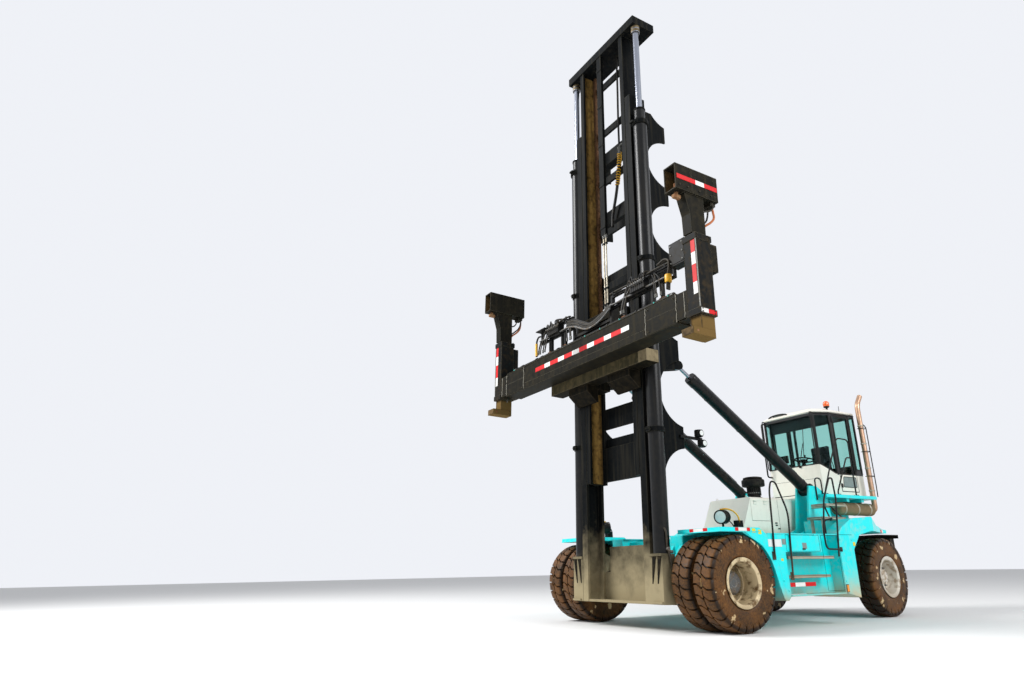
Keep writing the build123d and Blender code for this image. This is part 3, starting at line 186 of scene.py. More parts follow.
# Painted and bare metals. Columns: colour, soil colour, soil low, soil high, patches, roughness, metallic,
# edge colour, edge amount, grain height, tone, streak, coat, soil that runs down in streaks, specular level
tan = (0.46, 0.34, 0.19)
finishes = {
    "turquoise": ((0, 0.78, 0.8), tan, 0.3, 0.68, 0.14, 0.3, 0, (0.25, 0.6, 0.57), 0.25, 0.02, 0.1, 0.06, 0.25, 0.06,
                  0.25),
    "turquoiseDusty": ((0, 0.78, 0.8), (0.6, 0.46, 0.27), 0.35, 0.85, 0.3, 0.32, 0, (0.25, 0.6, 0.57), 0.25, 0.02,
                       0.1, 0.06, 0.25, 0.12, 0.25),
    "warmWhite": ((0.88, 0.845, 0.745), (0.55, 0.47, 0.35), 1.4, 1.62, 0.08, 0.32, 0, (0.5, 0.48, 0.42), 0.2, 0.02,
                  0.06, 0.1, 0.3, 0.06, 0.3),
    "mastBlack": ((0.0055, 0.0065, 0.0072), (0.33, 0.275, 0.165), 0.5, 1.6, 0.012, 0.42, 0, (0.08, 0.075, 0.055), 0.6,
                  0.06, 0.25, 0.3, 0, 0.045, 0.02),
    "spreaderGrey": ((0.012, 0.0115, 0.009), (0.06, 0.048, 0.027), 0.3, 1, 0.3, 0.45, 0, (0.2, 0.18, 0.13), 0.6, 0.06,
                     0.25, 0.4, 0, 0.3, 0.03),
    # near black with worn edges and soil spots; the near black is partly painted shade on the carriage
    "oliveWorn": ((0.007, 0.0065, 0.005), (0.05, 0.038, 0.02), 3, 3.4, 0.25, 0.55, 0, (0.16, 0.13, 0.08), 0.5, 0.08,
                  0.3, 0.5, 0, 0.35, 0.02),
    "axleBlack": ((0.014, 0.014, 0.014), (0.12, 0.09, 0.05), 0.3, 1.3, 0.4, 0.5, 0, (0.12, 0.11, 0.1), 0.4, 0.05, 0.2,
                  0.2, 0, 0.1, 0.06),
    "chrome": ((0.31, 0.33, 0.38), (0.3, 0.27, 0.2), 0.2, 0.4, 0.05, 0.22, 1, (0.6, 0.6, 0.6), 0, 0.01, 0.04, 0.05, 0,
               0, 0.5),
    "wornSteel": ((0.42, 0.38, 0.3), (0.42, 0.33, 0.2), 0.4, 1.3, 0.5, 0.42, 0.75, (0.6, 0.56, 0.5), 0.5, 0.06, 0.2,
                  0.2, 0, 0, 0.4),
    "copperSteel": ((0.58, 0.37, 0.25), (0.3, 0.17, 0.09), 1.7, 2.3, 0.35, 0.28, 1, (0.8, 0.65, 0.5), 0.2, 0.02, 0.3,
                    0.4, 0, 0.3, 0.4),
    "rust": ((0.2, 0.085, 0.035), (0.33, 0.2, 0.1), 0.4, 1, 0.7, 0.8, 0.1, (0.36, 0.22, 0.12), 0.5, 0.3, 0.5, 0.3, 0,
             0, 0.2),
    "blackPlastic": ((0.01, 0.01, 0.01), (0.09, 0.075, 0.05), 0.4, 1.2, 0.2, 0.45, 0, (0.06, 0.06, 0.06), 0.2, 0.03,
                     0.1, 0.05, 0, 0, 0.08),
    "rimCream": ((0.66, 0.53, 0.32), (0.115, 0.058, 0.016), 0.2, 0.45, 0.95, 0.45, 0.1, (0.6, 0.5, 0.35), 0.3, 0.05,
                 0.2, 0.1, 0, 0.25, 0.4),
    "rimPale": ((0.66, 0.62, 0.54), (0.26, 0.17, 0.08), 0.2, 0.5, 0.75, 0.5, 0.1, (0.6, 0.5, 0.35), 0.3, 0.05, 0.2,
                0.1, 0, 0, 0.4),
    "hubGrey": ((0.1, 0.105, 0.105), (0.16, 0.095, 0.035), 0.2, 0.4, 0.55, 0.5, 0.3, (0.5, 0.48, 0.44), 0.5, 0.05,
                0.2, 0.1, 0, 0, 0.4),
    "chainRust": ((0.11, 0.05, 0.022), (0.05, 0.03, 0.015), 0.4, 1, 0.6, 0.6, 0.4, (0.3, 0.17, 0.08), 0.4, 0.2, 0.5,
                  0.3, 0, 0, 0.2),
    "brassWorn": ((0.15, 0.115, 0.06), (0.06, 0.045, 0.024), 0.4, 1, 0.4, 0.45, 0.5, (0.4, 0.33, 0.19), 0.3, 0.05,
                  0.3, 0.3, 0, 0, 0.3),
    "zincPlate": ((0.14, 0.14, 0.13), (0.1, 0.085, 0.05), 0.4, 1, 0.3, 0.4, 0.4, (0.5, 0.5, 0.5), 0.3, 0.05, 0.2, 0.1,
                  0, 0, 0.3),
    "rubberHose": ((0.012, 0.012, 0.012), (0.1, 0.08, 0.05), 0.4, 1.2, 0.25, 0.5, 0, (0.05, 0.05, 0.05), 0, 0.05, 0.1,
                   0.05, 0, 0, 0.2),
    "hoseTan": ((0.035, 0.03, 0.022), (0.09, 0.07, 0.045), 0.4, 1.2, 0.3, 0.5, 0, (0.2, 0.17, 0.12), 0, 0.05, 0.3,
                0.1, 0, 0, 0.2),
    "guardYellow": ((0.8, 0.42, 0.01), (0.3, 0.2, 0.06), 0.2, 0.4, 0.15, 0.4, 0, (0.85, 0.6, 0.2), 0.2, 0.02, 0.1,
                    0.1, 0.1, 0, 0.4),
    # near black, used for panel seams and for painted shade
    "shadowBlack": ((0.01, 0.009, 0.007), (0.06, 0.045, 0.025), 0.3, 0.7, 0.4, 0.8, 0, (0.02, 0.02, 0.02), 0, 0.05,
                    0.1, 0.1, 0, 0, 0.05),
    "tapeRed": ((0.62, 0.006, 0.01), (0.2, 0.08, 0.04), 0.2, 0.4, 0.1, 0.5, 0, (0.6, 0.2, 0.15), 0, 0.01, 0.12, 0.08,
                0, 0, 0.2),
    "tapeWhite": ((0.8, 0.8, 0.78), (0.4, 0.34, 0.24), 0.2, 0.4, 0.15, 0.5, 0, (0.7, 0.68, 0.6), 0, 0.01, 0.1, 0.08,
                  0, 0, 0.2),
    "engineIron": ((0.06, 0.06, 0.06), (0.16, 0.12, 0.07), 0.9, 1.5, 0.4, 0.6, 0.2, (0.12, 0.11, 0.1), 0.3, 0.1, 0.2,
                   0.1, 0, 0, 0.2),
    "seatCloth": ((0.03, 0.03, 0.035), (0.08, 0.07, 0.06), 2, 2.1, 0.1, 0.9, 0, (0.05, 0.05, 0.05), 0, 0.3, 0.1, 0, 0,
                  0, 0.15),
    "armGrey": ((0.0105, 0.0115, 0.0115), (0.16, 0.1, 0.035), 4.27, 4.33, 0.15, 0.42, 0, (0.2, 0.18, 0.13), 0.6, 0.06,
                0.25, 0.4, 0, 0.1, 0.03),
    "weldPale": ((0.4, 0.38, 0.32), (0.2, 0.16, 0.09), 0.3, 0.4, 0.5, 0.6, 0.1, (0.5, 0.5, 0.45), 0, 0.1, 0.4, 0, 0,
                 0, 0.4),
    "edgePale": ((0.26, 0.26, 0.24), (0.2, 0.16, 0.09), 0.3, 0.4, 0.4, 0.45, 0.2, (0.5, 0.5, 0.45), 0, 0.05, 0.4, 0,
                 0, 0, 0.4),
    "plugTeal": ((0, 0.5, 0.42), (0.2, 0.16, 0.09), 0.3, 0.4, 0.2, 0.35, 0, (0.4, 0.6, 0.5), 0, 0.02, 0.1, 0, 0.2, 0,
                 0.4),
    "ochreWorn": ((0.13, 0.082, 0.033), (0.045, 0.032, 0.018), 0.3, 0.4, 0.85, 0.6, 0, (0.3, 0.21, 0.1), 0.4, 0.1,
                  0.4, 0.5, 0, 0.5, 0.1),
    "hoseRust": ((0.5, 0.13, 0.03), (0.14, 0.08, 0.04), 0.3, 0.4, 0.5, 0.6, 0, (0.5, 0.3, 0.2), 0, 0.05, 0.3, 0.1, 0,
                 0, 0.4),
    "barrelBlack": ((0.006, 0.0065, 0.007), (0.1, 0.08, 0.045), 0.4, 1.2, 0.05, 0.28, 0, (0.1, 0.1, 0.09), 0.2, 0.01,
                    0.1, 0.15, 0, 0.12, 0.2),
    "oliveFace": ((0.045, 0.039, 0.02), (0.15, 0.115, 0.058), 3, 3.4, 0.5, 0.55, 0, (0.35, 0.3, 0.2), 0.7, 0.08, 0.4,
                  0.8, 0, 0.5, 0.08),
    "tanFace": ((0.25, 0.2, 0.115), (0.09, 0.07, 0.04), 3, 3.4, 0.6, 0.55, 0, (0.45, 0.38, 0.25), 0.5, 0.08, 0.3, 0.8,
                0, 0.5, 0.14),
    "webOchre": ((0.055, 0.032, 0.01), (0.016, 0.011, 0.006), 0.3, 0.4, 0.6, 0.6, 0, (0.42, 0.25, 0.07), 0.9, 0.2,
                 0.5, 1.2, 0, 0.6, 0.05),
    "railBlack": ((0.014, 0.015, 0.016), (0.12, 0.095, 0.06), 0.5, 1.2, 0.15, 0.4, 0, (0.14, 0.14, 0.13), 0.2, 0.02,
                  0.1, 0.1, 0, 0.1, 0.12),
    "plateYellow": ((0.75, 0.62, 0.03), (0.3, 0.24, 0.08), 0.3, 0.4, 0.2, 0.4, 0, (0.6, 0.5, 0.2), 0, 0.01, 0.1, 0, 0,
                    0, 0.3),
    "plateWhite": ((0.7, 0.76, 0.74), (0.4, 0.36, 0.26), 0.3, 0.4, 0.2, 0.4, 0, (0.6, 0.6, 0.5), 0, 0.01, 0.1, 0, 0,
                   0, 0.3),
    "plateGrey": ((0.22, 0.27, 0.26), (0.1, 0.1, 0.08), 0.3, 0.4, 0.3, 0.4, 0, (0.4, 0.4, 0.4), 0, 0.01, 0.3, 0, 0, 0,
                  0.3),
    "markerOrange": ((0.9, 0.3, 0.02), (0.4, 0.2, 0.05), 0.3, 0.4, 0.1, 0.25, 0, (0.9, 0.4, 0.1), 0, 0.01, 0.1, 0,
                     0.3, 0, 0.5),
    "stepSteel": ((0.5, 0.47, 0.38), (0.3, 0.24, 0.14), 0.4, 1.3, 0.5, 0.5, 0.5, (0.6, 0.56, 0.5), 0.3, 0.06, 0.2,
                  0.2, 0, 0.1, 0.4),
    "lensPale": ((0.78, 0.8, 0.78), (0.45, 0.42, 0.34), 0.3, 0.4, 0.3, 0.15, 0, (0.8, 0.8, 0.8), 0, 0.01, 0.1, 0, 0.5,
                 0, 0.5),
    "beaconOrange": ((0.9, 0.13, 0.01), (0.35, 0.06, 0.02), 0.3, 0.4, 0.25, 0.12, 0, (1, 0.45, 0.1), 0.3, 0.01, 0.2,
                     0.1, 0.6, 0, 0.6),
    "mufflerTan": ((0.13, 0.095, 0.05), (0.26, 0.19, 0.1), 1.85, 2, 0.5, 0.65, 0.4, (0.3, 0.22, 0.12), 0.3, 0.1, 0.4,
                   0.4, 0, 0.4, 0.3),
}
ready = {}


def finish(name):
    # one material from the finishes table: clean colour, tone changes, worn edges, then soil over it
    if name in ready:
        return ready[name]
    (color, soil, low, high, patches, rough, metal, edge, edgeAmount, height, tone, streak, coat, runs,
     gloss) = finishes[name]
    mat, tree, shader = newMaterial(name)
    grain = put(tree, "Group", node_tree=grainGroup)
    grain.inputs["Tone"].default_value, grain.inputs["Streak"].default_value = tone, streak
    wear = put(tree, "Group", node_tree=edgeGroup)
    wear.inputs["Amount"].default_value = edgeAmount
    dirt = put(tree, "Group", node_tree=soilGroup)
    for key, value in (("Low", low), ("High", high), ("Patches", patches)):
        dirt.inputs[key].default_value = value
    toned = put(tree, "HueSaturation",
                {"Color": (*color, 1), "Value": calc(tree, "ADD", grain.outputs["Tone"], 1.0)}).outputs[0]
    worn = blendColor(tree, wear.outputs["Mask"], toned, (*edge, 1))
    mask = calc(tree, "MAXIMUM", dirt.outputs["Mask"],
                times(tree, grain.outputs["Runs"], runs)) if runs else dirt.outputs["Mask"]
    tree.links.new(blendColor(tree, mask, worn, (*soil, 1)), shader.inputs["Base Color"])
    tree.links.new(remap(tree, mask, 0.0, 1.0, rough, 0.85), shader.inputs["Roughness"])
    if metal:
        tree.links.new(remap(tree, mask, 0.0, 1.0, metal, 0.0), shader.inputs["Metallic"])
    bump = put(tree, "Bump", {"Height": calc(tree, "ADD", grain.outputs["Height"], times(tree, mask, 2.0)),
                              "Strength": min(1.0, height * 4), "Distance": 0.002,
                              "Normal": wear.outputs["Normal"]}).outputs[0]
    tree.links.new(bump, shader.inputs["Normal"])
    shader.inputs["Coat Weight"].default_value = coat
    shader.inputs["Specular IOR Level"].default_value = gloss
    shader.inputs["Coat Roughness"].default_value = 0.12
    ready[name] = mat
    return mat


def glassMaterial(name, tint):
    mat, tree, shader = newMaterial(name)
    shader.inputs["Base Color"].default_value = (*tint, 1)
    shader.inputs["Roughness"].default_value = 0.03
    shader.inputs["Transmission Weight"].default_value = 1.0
    shader.inputs["IOR"].default_value = 1.15
    return mat


def paint(names, material):
    for name in names.split():
        data = nodes[name].data
        data.materials.clear()
        data.materials.append(material)


# CAD nodes and their finishes
for names, material in (
    ("chassis_frame front_fenders side_tanks side_platforms", "turquoise"),
    ("rear_fenders", "turquoiseDusty"),
    ("engine_hood hood_hatch_left hood_hatch_right cab_shell", "warmWhite"),
    ("outer_mast inner_mast", "mastBlack"),
    ("lift_cylinders tilt_barrel_left tilt_barrel_right", "barrelBlack"),
    ("spreader_beam lift_post_left lift_post_right", "spreaderGrey"),
    ("spreader_arm_left spreader_arm_right", "armGrey"),
    # the carriage's near black is partly painted shade
    ("carriage", "oliveWorn"),
    ("drive_axle steer_axle steer_knuckle_left steer_knuckle_right counterweight", "axleBlack"),
    ("cab_door_left cab_door_right handrails", "railBlack"),
    ("lift_rods tilt_rod_left tilt_rod_right", "chrome"),
    ("access_steps mast_pipes", "wornSteel"),
    ("exhaust", "copperSteel"),
    ("lift_chains twistlock_left twistlock_right", "rust"),
    ("air_precleaner mast_lamps work_lamps spreader_hydraulics steering_console beacon", "blackPlastic"),
    ("engine_block", "engineIron"),
    ("operator_seat", "seatCloth")):
    paint(names, finish(material))
paint("cab_windows door_glass_left door_glass_right", glassMaterial("cabGlass", (0.55, 0.8, 0.76)))


def tyreMaterial(s):
    # wet brown mud over rubber, painted shade low on the lugs and between them, with dried tan patches on the
    # sidewalls
    mat, tree, shader = newMaterial("tyreMud")
    coords = put(tree, "TexCoord").outputs["Object"]
    slow = noiseField(tree, coords, 4.0, 8.0, 0.6)
    fine = noiseField(tree, coords, 38.0, 6.0, 0.7)
    wet = remap(tree, slow, 0.36, 0.66)
    mud = blendColor(tree, wet, (*s["dark"], 1), (*s["mud"], 1))
    speckle = remap(tree, fine, 0.42, 0.7)
    mud = blendColor(tree, times(tree, speckle, 0.45), mud, (*s["light"], 1))
    dried = noiseField(tree, coords, 5.5, 3.0, 0.5)
    flatSide = put(tree, "SeparateXYZ", {0: put(tree, "NewGeometry").outputs["Normal"]}).outputs["X"]
    spots = times(tree, remap(tree, dried, 0.64, 0.67), remap(tree, calc(tree, "ABSOLUTE", flatSide), 0.75, 0.95))
    place = put(tree, "SeparateXYZ", {0: coords}).outputs
    centerY = times(tree, calc(tree, "GREATER_THAN", place["Y"], axleY + wheelbase / 2), wheelbase)
    away = calc(tree, "SUBTRACT", calc(tree, "SUBTRACT", place["Y"], axleY), centerY)
    up = calc(tree, "SUBTRACT", place["Z"], tyreRadius)
    radius = calc(tree, "SQRT", calc(tree, "ADD", times(tree, away, away), times(tree, up, up)))
    # painted shade in the lug gaps: the distance from each wheel's axle picks out radius 0.628 to 0.658, blended
    # toward near black
    gap = times(tree, remap(tree, radius, 0.676, 0.658), remap(tree, radius, 0.6, 0.628))
    mud = blendColor(tree, times(tree, gap, 0.85), mud, (0.008, 0.005, 0.003, 1))
    tree.links.new(blendColor(tree, spots, mud, (*s["tan"], 1)), shader.inputs["Base Color"])
    tree.links.new(remap(tree, fine, 0.3, 0.7, s["gloss"], s["dull"]), shader.inputs["Roughness"])
    tree.links.new(put(tree, "Bump", {"Height": fine, "Strength": 0.55, "Distance": 0.006}).outputs[0],
                   shader.inputs["Normal"])
    shader.inputs["Specular IOR Level"].default_value = s["shine"]
    ready["tyreMud"] = mat


tyreMaterial({"dark": (0.022, 0.011, 0.004), "mud": (0.115, 0.045, 0.009), "light": (0.25, 0.115, 0.03),
              "tan": (0.55, 0.4, 0.21), "gloss": 0.34, "dull": 0.7, "shine": 0.22})
print("materials done")

# Surfaces. A shape is (points, faces): points are an n by 3 array, faces index into it.


def gridFaces(rows, columns, wrapRows):
    # quads between neighbours of a rows by columns grid, numbered row by row; every row closes on itself
    r, c = np.meshgrid(np.arange(rows if wrapRows else rows - 1), np.arange(columns), indexing="ij")
    r2, c2 = (r + 1) % rows, (c + 1) % columns
    return np.stack([r * columns + c, r2 * columns + c, r2 * columns + c2, r * columns + c2], -1).reshape(-1,
        4).tolist()


def surface(grid, capped, wrapRows=False):
    # grid[r, c] is a point; capped closes the first and last row with a face each
    rows, columns = grid.shape[:2]
    faces = gridFaces(rows, columns, wrapRows)
    if capped:
        faces += [list(range(columns)), list(range((rows - 1) * columns, rows * columns))[::-1]]
    return grid.reshape(-1, 3), faces


def revolved(profile, center, axis=(0, 0, 1), segments=48, ring=False):
    # point(s, t) = center + along(s) * axis + radius(s) * (cos t * e1 + sin t * e2); ring closes the profile on itself
    profile = np.array(profile, float)
    axis = np.array(axis, float) / np.linalg.norm(axis)
    e1 = np.cross(axis, (0.31, 0.87, 0.38))
    e1 /= np.linalg.norm(e1)
    e2 = np.cross(axis, e1)
    t = np.linspace(0, 2 * np.pi, segments, endpoint=False)
    turn = np.cos(t)[:, None] * e1 + np.sin(t)[:, None] * e2
    grid = np.array(center, float) + profile[:, 0, None, None] * axis + profile[:, 1, None, None] * turn
    return surface(grid, wrapRows=ring, capped=not ring and profile[0, 1] > 0)


def smoothPath(points, perSpan):
    # Catmull-Rom: p(t) = half of (2b + (c-a)t + (2a-5b+4c-d)t^2 + (3b-a-3c+d)t^3) on each span
    p = np.array(points, float)
    p = np.vstack([2 * p[0] - p[1], p, 2 * p[-1] - p[-2]])
    a, b, c, d = p[:-3, None], p[1:-2, None], p[2:-1, None], p[3:, None]
    t = np.linspace(0, 1, perSpan, endpoint=False)[None, :, None]
    spans = 0.5 * (2 * b + (c - a) * t + (2 * a - 5 * b + 4 * c - d) * t ** 2 + (3 * b - a - 3 * c + d) * t ** 3)
    return np.vstack([spans.reshape(-1, 3), p[-2]])


def bentPath(points, radius, perBend=5):
    # straight runs with a quadratic arc at each corner: q(t) = (1-t)^2 s + 2t(1-t) corner + t^2 e
    p = np.array(points, float)
    back, ahead = p[:-2] - p[1:-1], p[2:] - p[1:-1]
    lengths = np.linalg.norm(back, axis=1), np.linalg.norm(ahead, axis=1)
    cut = np.minimum(radius, 0.45 * np.minimum(*lengths))[:, None]
    s = (p[1:-1] + back / lengths[0][:, None] * cut)[:, None]
    e = (p[1:-1] + ahead / lengths[1][:, None] * cut)[:, None]
    t = np.linspace(0, 1, perBend)[None, :, None]
    arcs = (1 - t) ** 2 * s + 2 * t * (1 - t) * p[1:-1][:, None] + t ** 2 * e
    return np.vstack([p[:1], arcs.reshape(-1, 3), p[-1:]])


def tube(path, radius, sides, closed=False):
    # a circle carried along a path: point(s, t) = path(s) + radius(s) * (cos t * n(s) + sin t * b(s))
    path = np.array(path, float)
    if closed:
        tangent = np.roll(path, -1, 0) - np.roll(path, 1, 0)
    else:
        tangent = np.gradient(path, axis=0)
    tangent /= np.linalg.norm(tangent, axis=1)[:, None]
    guides = np.array([(1, 0, 0), (0, 1, 0), (0, 0, 1), (0.58, 0.58, 0.57), (0.6, -0.6, 0.5), (-0.6, 0.3, 0.74)])
    guide = guides[np.abs(tangent @ guides.T).max(0).argmin()]
    n = np.cross(tangent, guide)
    n /= np.linalg.norm(n, axis=1)[:, None]
    b = np.cross(tangent, n)
    t = np.linspace(0, 2 * np.pi, sides, endpoint=False)
    radius = np.broadcast_to(np.array(radius, float), len(path))[:, None, None]
    grid = path[:, None] + radius * (np.cos(t)[None, :, None] * n[:, None] + np.sin(t)[None, :, None] * b[:, None])
    return surface(grid, wrapRows=closed, capped=not closed)


def prism(outline, start, end, plane="yz"):
    # an outline in one plane carried straight along the third axis from start to end
    outline = np.array(outline, float)
    order = {"yz": (0, 1, 2), "xz": (1, 0, 2), "xy": (2, 0, 1)}[plane]
    grid = np.empty((2, len(outline), 3))
    grid[0, :, order[0]], grid[1, :, order[0]] = start, end
    grid[:, :, order[1]], grid[:, :, order[2]] = outline[:, 0], outline[:, 1]
    return surface(grid, capped=True)


def blocks(table):
    # many boxes at once: columns are x0, x1, y0, y1, z0, z1
    table = np.array(table, float).reshape(-1, 3, 2)
    corner = np.array([(0, 0, 0), (1, 0, 0), (1, 1, 0), (0, 1, 0), (0, 0, 1), (1, 0, 1), (1, 1, 1), (0, 1, 1)])
    points = table[:, None, :, 0] + corner[None] * (table[:, :, 1] - table[:, :, 0])[:, None]
    sides = np.array([(0, 3, 2, 1), (4, 5, 6, 7), (0, 1, 5, 4), (1, 2, 6, 5), (2, 3, 7, 6), (3, 0, 4, 7)])
    faces = (sides[None] + 8 * np.arange(len(table))[:, None, None]).reshape(-1, 4)
    return points.reshape(-1, 3), faces.tolist()


def rod(start, end, radius, sides):
    return tube([start, end], radius, sides)


def repeated(shape, offsets):
    # the same shape at many offsets
    points, faces, *own = shape
    offsets = np.array(offsets, float).reshape(-1, 3)
    moved = (points[None] + offsets[:, None]).reshape(-1, 3)
    return (moved, [[index + count * len(points) for index in face] for count in range(len(offsets))
                    for face in faces], *own)


def turned(shape, axis, degrees, center):
    turn = np.array(Matrix.Rotation(math.radians(degrees), 3, axis))
    return ((shape[0] - center) @ turn.T + center, *shape[1:])


def around(shape, count, center, axis="X", start=0.0):
    # the same shape at equal turns about an axis through center
    return [turned(shape, axis, start + 360 * step / count, center) for step in range(count)]


def mirrored(shape):
    return (shape[0] * (-1, 1, 1), [face[::-1] for face in shape[1]], *shape[2:])


def both(shapes):
    return list(shapes) + [mirrored(shape) for shape in shapes]


def ring(start, end, inner, outer, center, **options):
    # a band between two radii, from start to end along its axis
    return revolved([(start, inner), (start, outer), (end, outer), (end, inner)], center, ring=True, **options)


def slab(u0, u1, v0, v1, start, end, plane="yz"):
    # a box drawn as a rectangle in one plane, carried along the third axis
    return prism([(u0, v0), (u1, v0), (u1, v1), (u0, v1)], start, end, plane)


def drum(start, end, radius, center, **options):
    # a solid cylinder from start to end along its axis
    return revolved([(start, 0), (start, radius), (end, radius), (end, 0)], center, **options)


def hose(points, radius, sides=8, perSpan=6):
    # a tube on a smooth path through the points
    return tube(smoothPath(points, perSpan), radius, sides)


leanBack, mastPin = 2.4, np.array((0, -0.14, 1.0))  # the mast leans about its pin


def onMast(shape):
    # a shape measured on the upright mast, leaned back with it
    return turned(shape, "X", -leanBack, mastPin)


def piece(name, body, material, shapes, bevel=0.0, sharp=32, mast=False, replaces=(), segments=1):
    # joins shapes into one object at the origin; Y is measured from the drive axle
    # a shape may carry its own material after its points and faces
    shapes = [shape if len(shape) == 3 else (*shape, material) for shape in shapes]
    if mast:
        shapes = [onMast(shape) for shape in shapes]
    starts = np.cumsum([0] + [len(shape[0]) for shape in shapes])
    points = np.vstack([shape[0] for shape in shapes]) + (0, axleY, 0)
    materials = list(dict.fromkeys(shape[2] for shape in shapes))
    faces = [[index + start for index in face] for shape, start in zip(shapes, starts) for face in shape[1]]
    slots = [materials.index(shape[2]) for shape in shapes for face in shape[1]]
    mesh = bpy.data.meshes.new(name)
    mesh.from_pydata(points.tolist(), [], faces)
    mesh.polygons.foreach_set("material_index", slots)
    for own in materials:
        mesh.materials.append(finish(own) if isinstance(own, str) else own)
    work = bmesh.new()
    work.from_mesh(mesh)
    bmesh.ops.remove_doubles(work, verts=work.verts, dist=0.0002)
    bmesh.ops.recalc_face_normals(work, faces=work.faces)
    work.to_mesh(mesh)
    work.free()
    mesh.shade_smooth()
    mesh.set_sharp_from_angle(angle=math.radians(sharp))
    made = bpy.data.objects.new(name, mesh)
    scene.collection.objects.link(made)
    if bevel:
        mod = made.modifiers.new("edges", "BEVEL")
        mod.width, mod.segments, mod.limit_method, mod.angle_limit = bevel, segments, "ANGLE", math.radians(35)
        mod.harden_normals = True
    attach(made, body)
    if replaces:
        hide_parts(*replaces)
    return made


sides = ((1, "left"), (-1, "right"))
alongX, alongY = (1, 0, 0), (0, 1, 0)


def onSide(shapes, side):
    # shapes made for the left side, as they are or mirrored
    return shapes if side > 0 else [mirrored(shape) for shape in shapes]


# Wheels
tyre = {"radius": tyreRadius, "width": 0.375, "lugs": 28, "root": 0.648, "lugShare": 0.86, "bead": 0.318,
        "segments": 112}
wheelX = {"outer": 2.075, "gap": 0.073, "steerOuter": 1.49, "kingpin": 0.98}
steerRest = 7.0  # degrees, as in the photo


def tyreShapes(s, centerX, centerY):
    # carcass: a closed section turned about X; lugs: a chamfered section carried from the centre over the shoulder
    half = s["width"] / 2
    section = [(0, s["root"]), (0.06, s["root"] - 0.001), (0.12, s["root"] - 0.003), (0.15, s["root"] - 0.012),
               (0.168, 0.615), (0.1765, 0.585), (0.177, 0.572), (0.1815, 0.57), (0.1845, 0.545), (0.1862, 0.51),
               (0.1868, 0.47), (0.185, 0.43), (0.1835, 0.424), (0.1838, 0.416), (0.18, 0.4), (0.172, 0.378),
               (0.16, 0.361), (0.146, 0.352), (0.14, s["bead"])]
    section = [(-x, r) for x, r in section[:0:-1]] + section
    center = (centerX, centerY, s["radius"])
    shapes = [revolved(section, center, axis=alongX, segments=s["segments"], ring=True)]
    # lug path over the shoulder: x, outer radius, inner radius, skew toward the tread's middle, in pitches
    path = np.array([(0.01, 0.6835, 0.636, 0.36), (0.018, 0.685, 0.636, 0.34), (0.06, 0.685, 0.636, 0.13),
                     (0.095, 0.684, 0.634, 0), (0.14, 0.68, 0.63, 0), (0.166, 0.67, 0.612, 0), (0.18, 0.648, 0.59, 0),
                     (0.1868, 0.615, 0.57, 0), (0.1855, 0.58, 0.56, 0)])
    pitch = 2 * np.pi / s["lugs"]
    across = np.array([(-1, 0), (-0.985, 0.78), (-0.93, 1), (0.93, 1), (0.985, 0.78), (1, 0)])
    share = np.array([0.8, 0.84, 0.86, 0.86, 0.86, 0.86, 0.84, 0.8, 0.7]) * s["lugShare"] / 0.86
    for side, offset in ((1, 0), (-1, 0.5)):
        angle = pitch * (path[:, 3, None] * side + offset + across[None, :, 0] * share[:, None] / 2)
        radius = path[:, 2, None] + across[None, :, 1] * (path[:, 1] - path[:, 2])[:, None]
        turns = (np.arange(s["lugs"]) * pitch)[:, None, None]
        grid = np.stack([np.broadcast_to(side * path[:, 0, None], (s["lugs"], *angle.shape)),
                         radius * np.sin(angle + turns), radius * np.cos(angle + turns)], -1) + center
        shapes += [surface(lug, capped=True) for lug in grid]
    return shapes


def steered(shapes, side):
    # turns a left or right steered wheel by its rest angle about its kingpin
    return [turned(shape, "Z", steerRest, (side * wheelX["kingpin"], wheelbase, 0)) for shape in shapes]


outerCenter = wheelX["outer"] - tyre["width"] / 2
innerCenter = outerCenter - tyre["width"] - wheelX["gap"]
steerCenter = wheelX["steerOuter"] - tyre["width"] / 2
for side, word in sides:
    pair = tyreShapes(tyre, side * outerCenter, 0) + tyreShapes(tyre, side * innerCenter, 0)
    piece(f"twin_tyres_{word}", f"drive_wheel_{word}", "tyreMud", pair,
          replaces=[f"drive_tyres_{word}"], sharp=38)
    single = steered(tyreShapes(tyre, side * steerCenter, wheelbase), side)
    piece(f"steered_tyre_{word}", f"steer_wheel_{word}", "tyreMud", single,
          replaces=[f"steer_tyre_{word}"], sharp=38)
print("tyres done")

driveRim = {"discX": 1.6635, "hubFace": 1.8735, "studs": 20, "studCircle": 0.205}
# section of one rim, from its middle: x from the tyre's middle, radius. The outside face runs first.
rimSection = [(0.168, 0.3), (0.176, 0.312), (0.18, 0.335), (0.186, 0.352), (0.1835, 0.3585), (0.176, 0.3595),
              (0.168, 0.354), (0.16, 0.336), (0.15, 0.326), (0.12, 0.318), (0, 0.309), (-0.12, 0.318), (-0.16, 0.336),
              (-0.176, 0.3595), (-0.186, 0.352), (-0.176, 0.312), (-0.168, 0.3), (-0.12, 0.292), (0.12, 0.292)]


def rimShapes(center):
    # one rim about its tyre's middle
    return [revolved(rimSection, center, axis=alongX, segments=72, ring=True)]


def studShapes(count, circle, x, centerY, size, length, side):
    # a circle of hexagon nuts round the hub
    nut = revolved([(0, 0), (0, size), (length * 0.55, size), (length * 0.62, size * 0.55), (length, size * 0.55),
                    (length, 0)], (x, centerY, tyre["radius"] + circle), axis=(side, 0, 0), segments=6)
    return around((*nut, "hubGrey"), count, (x, centerY, tyre["radius"]))


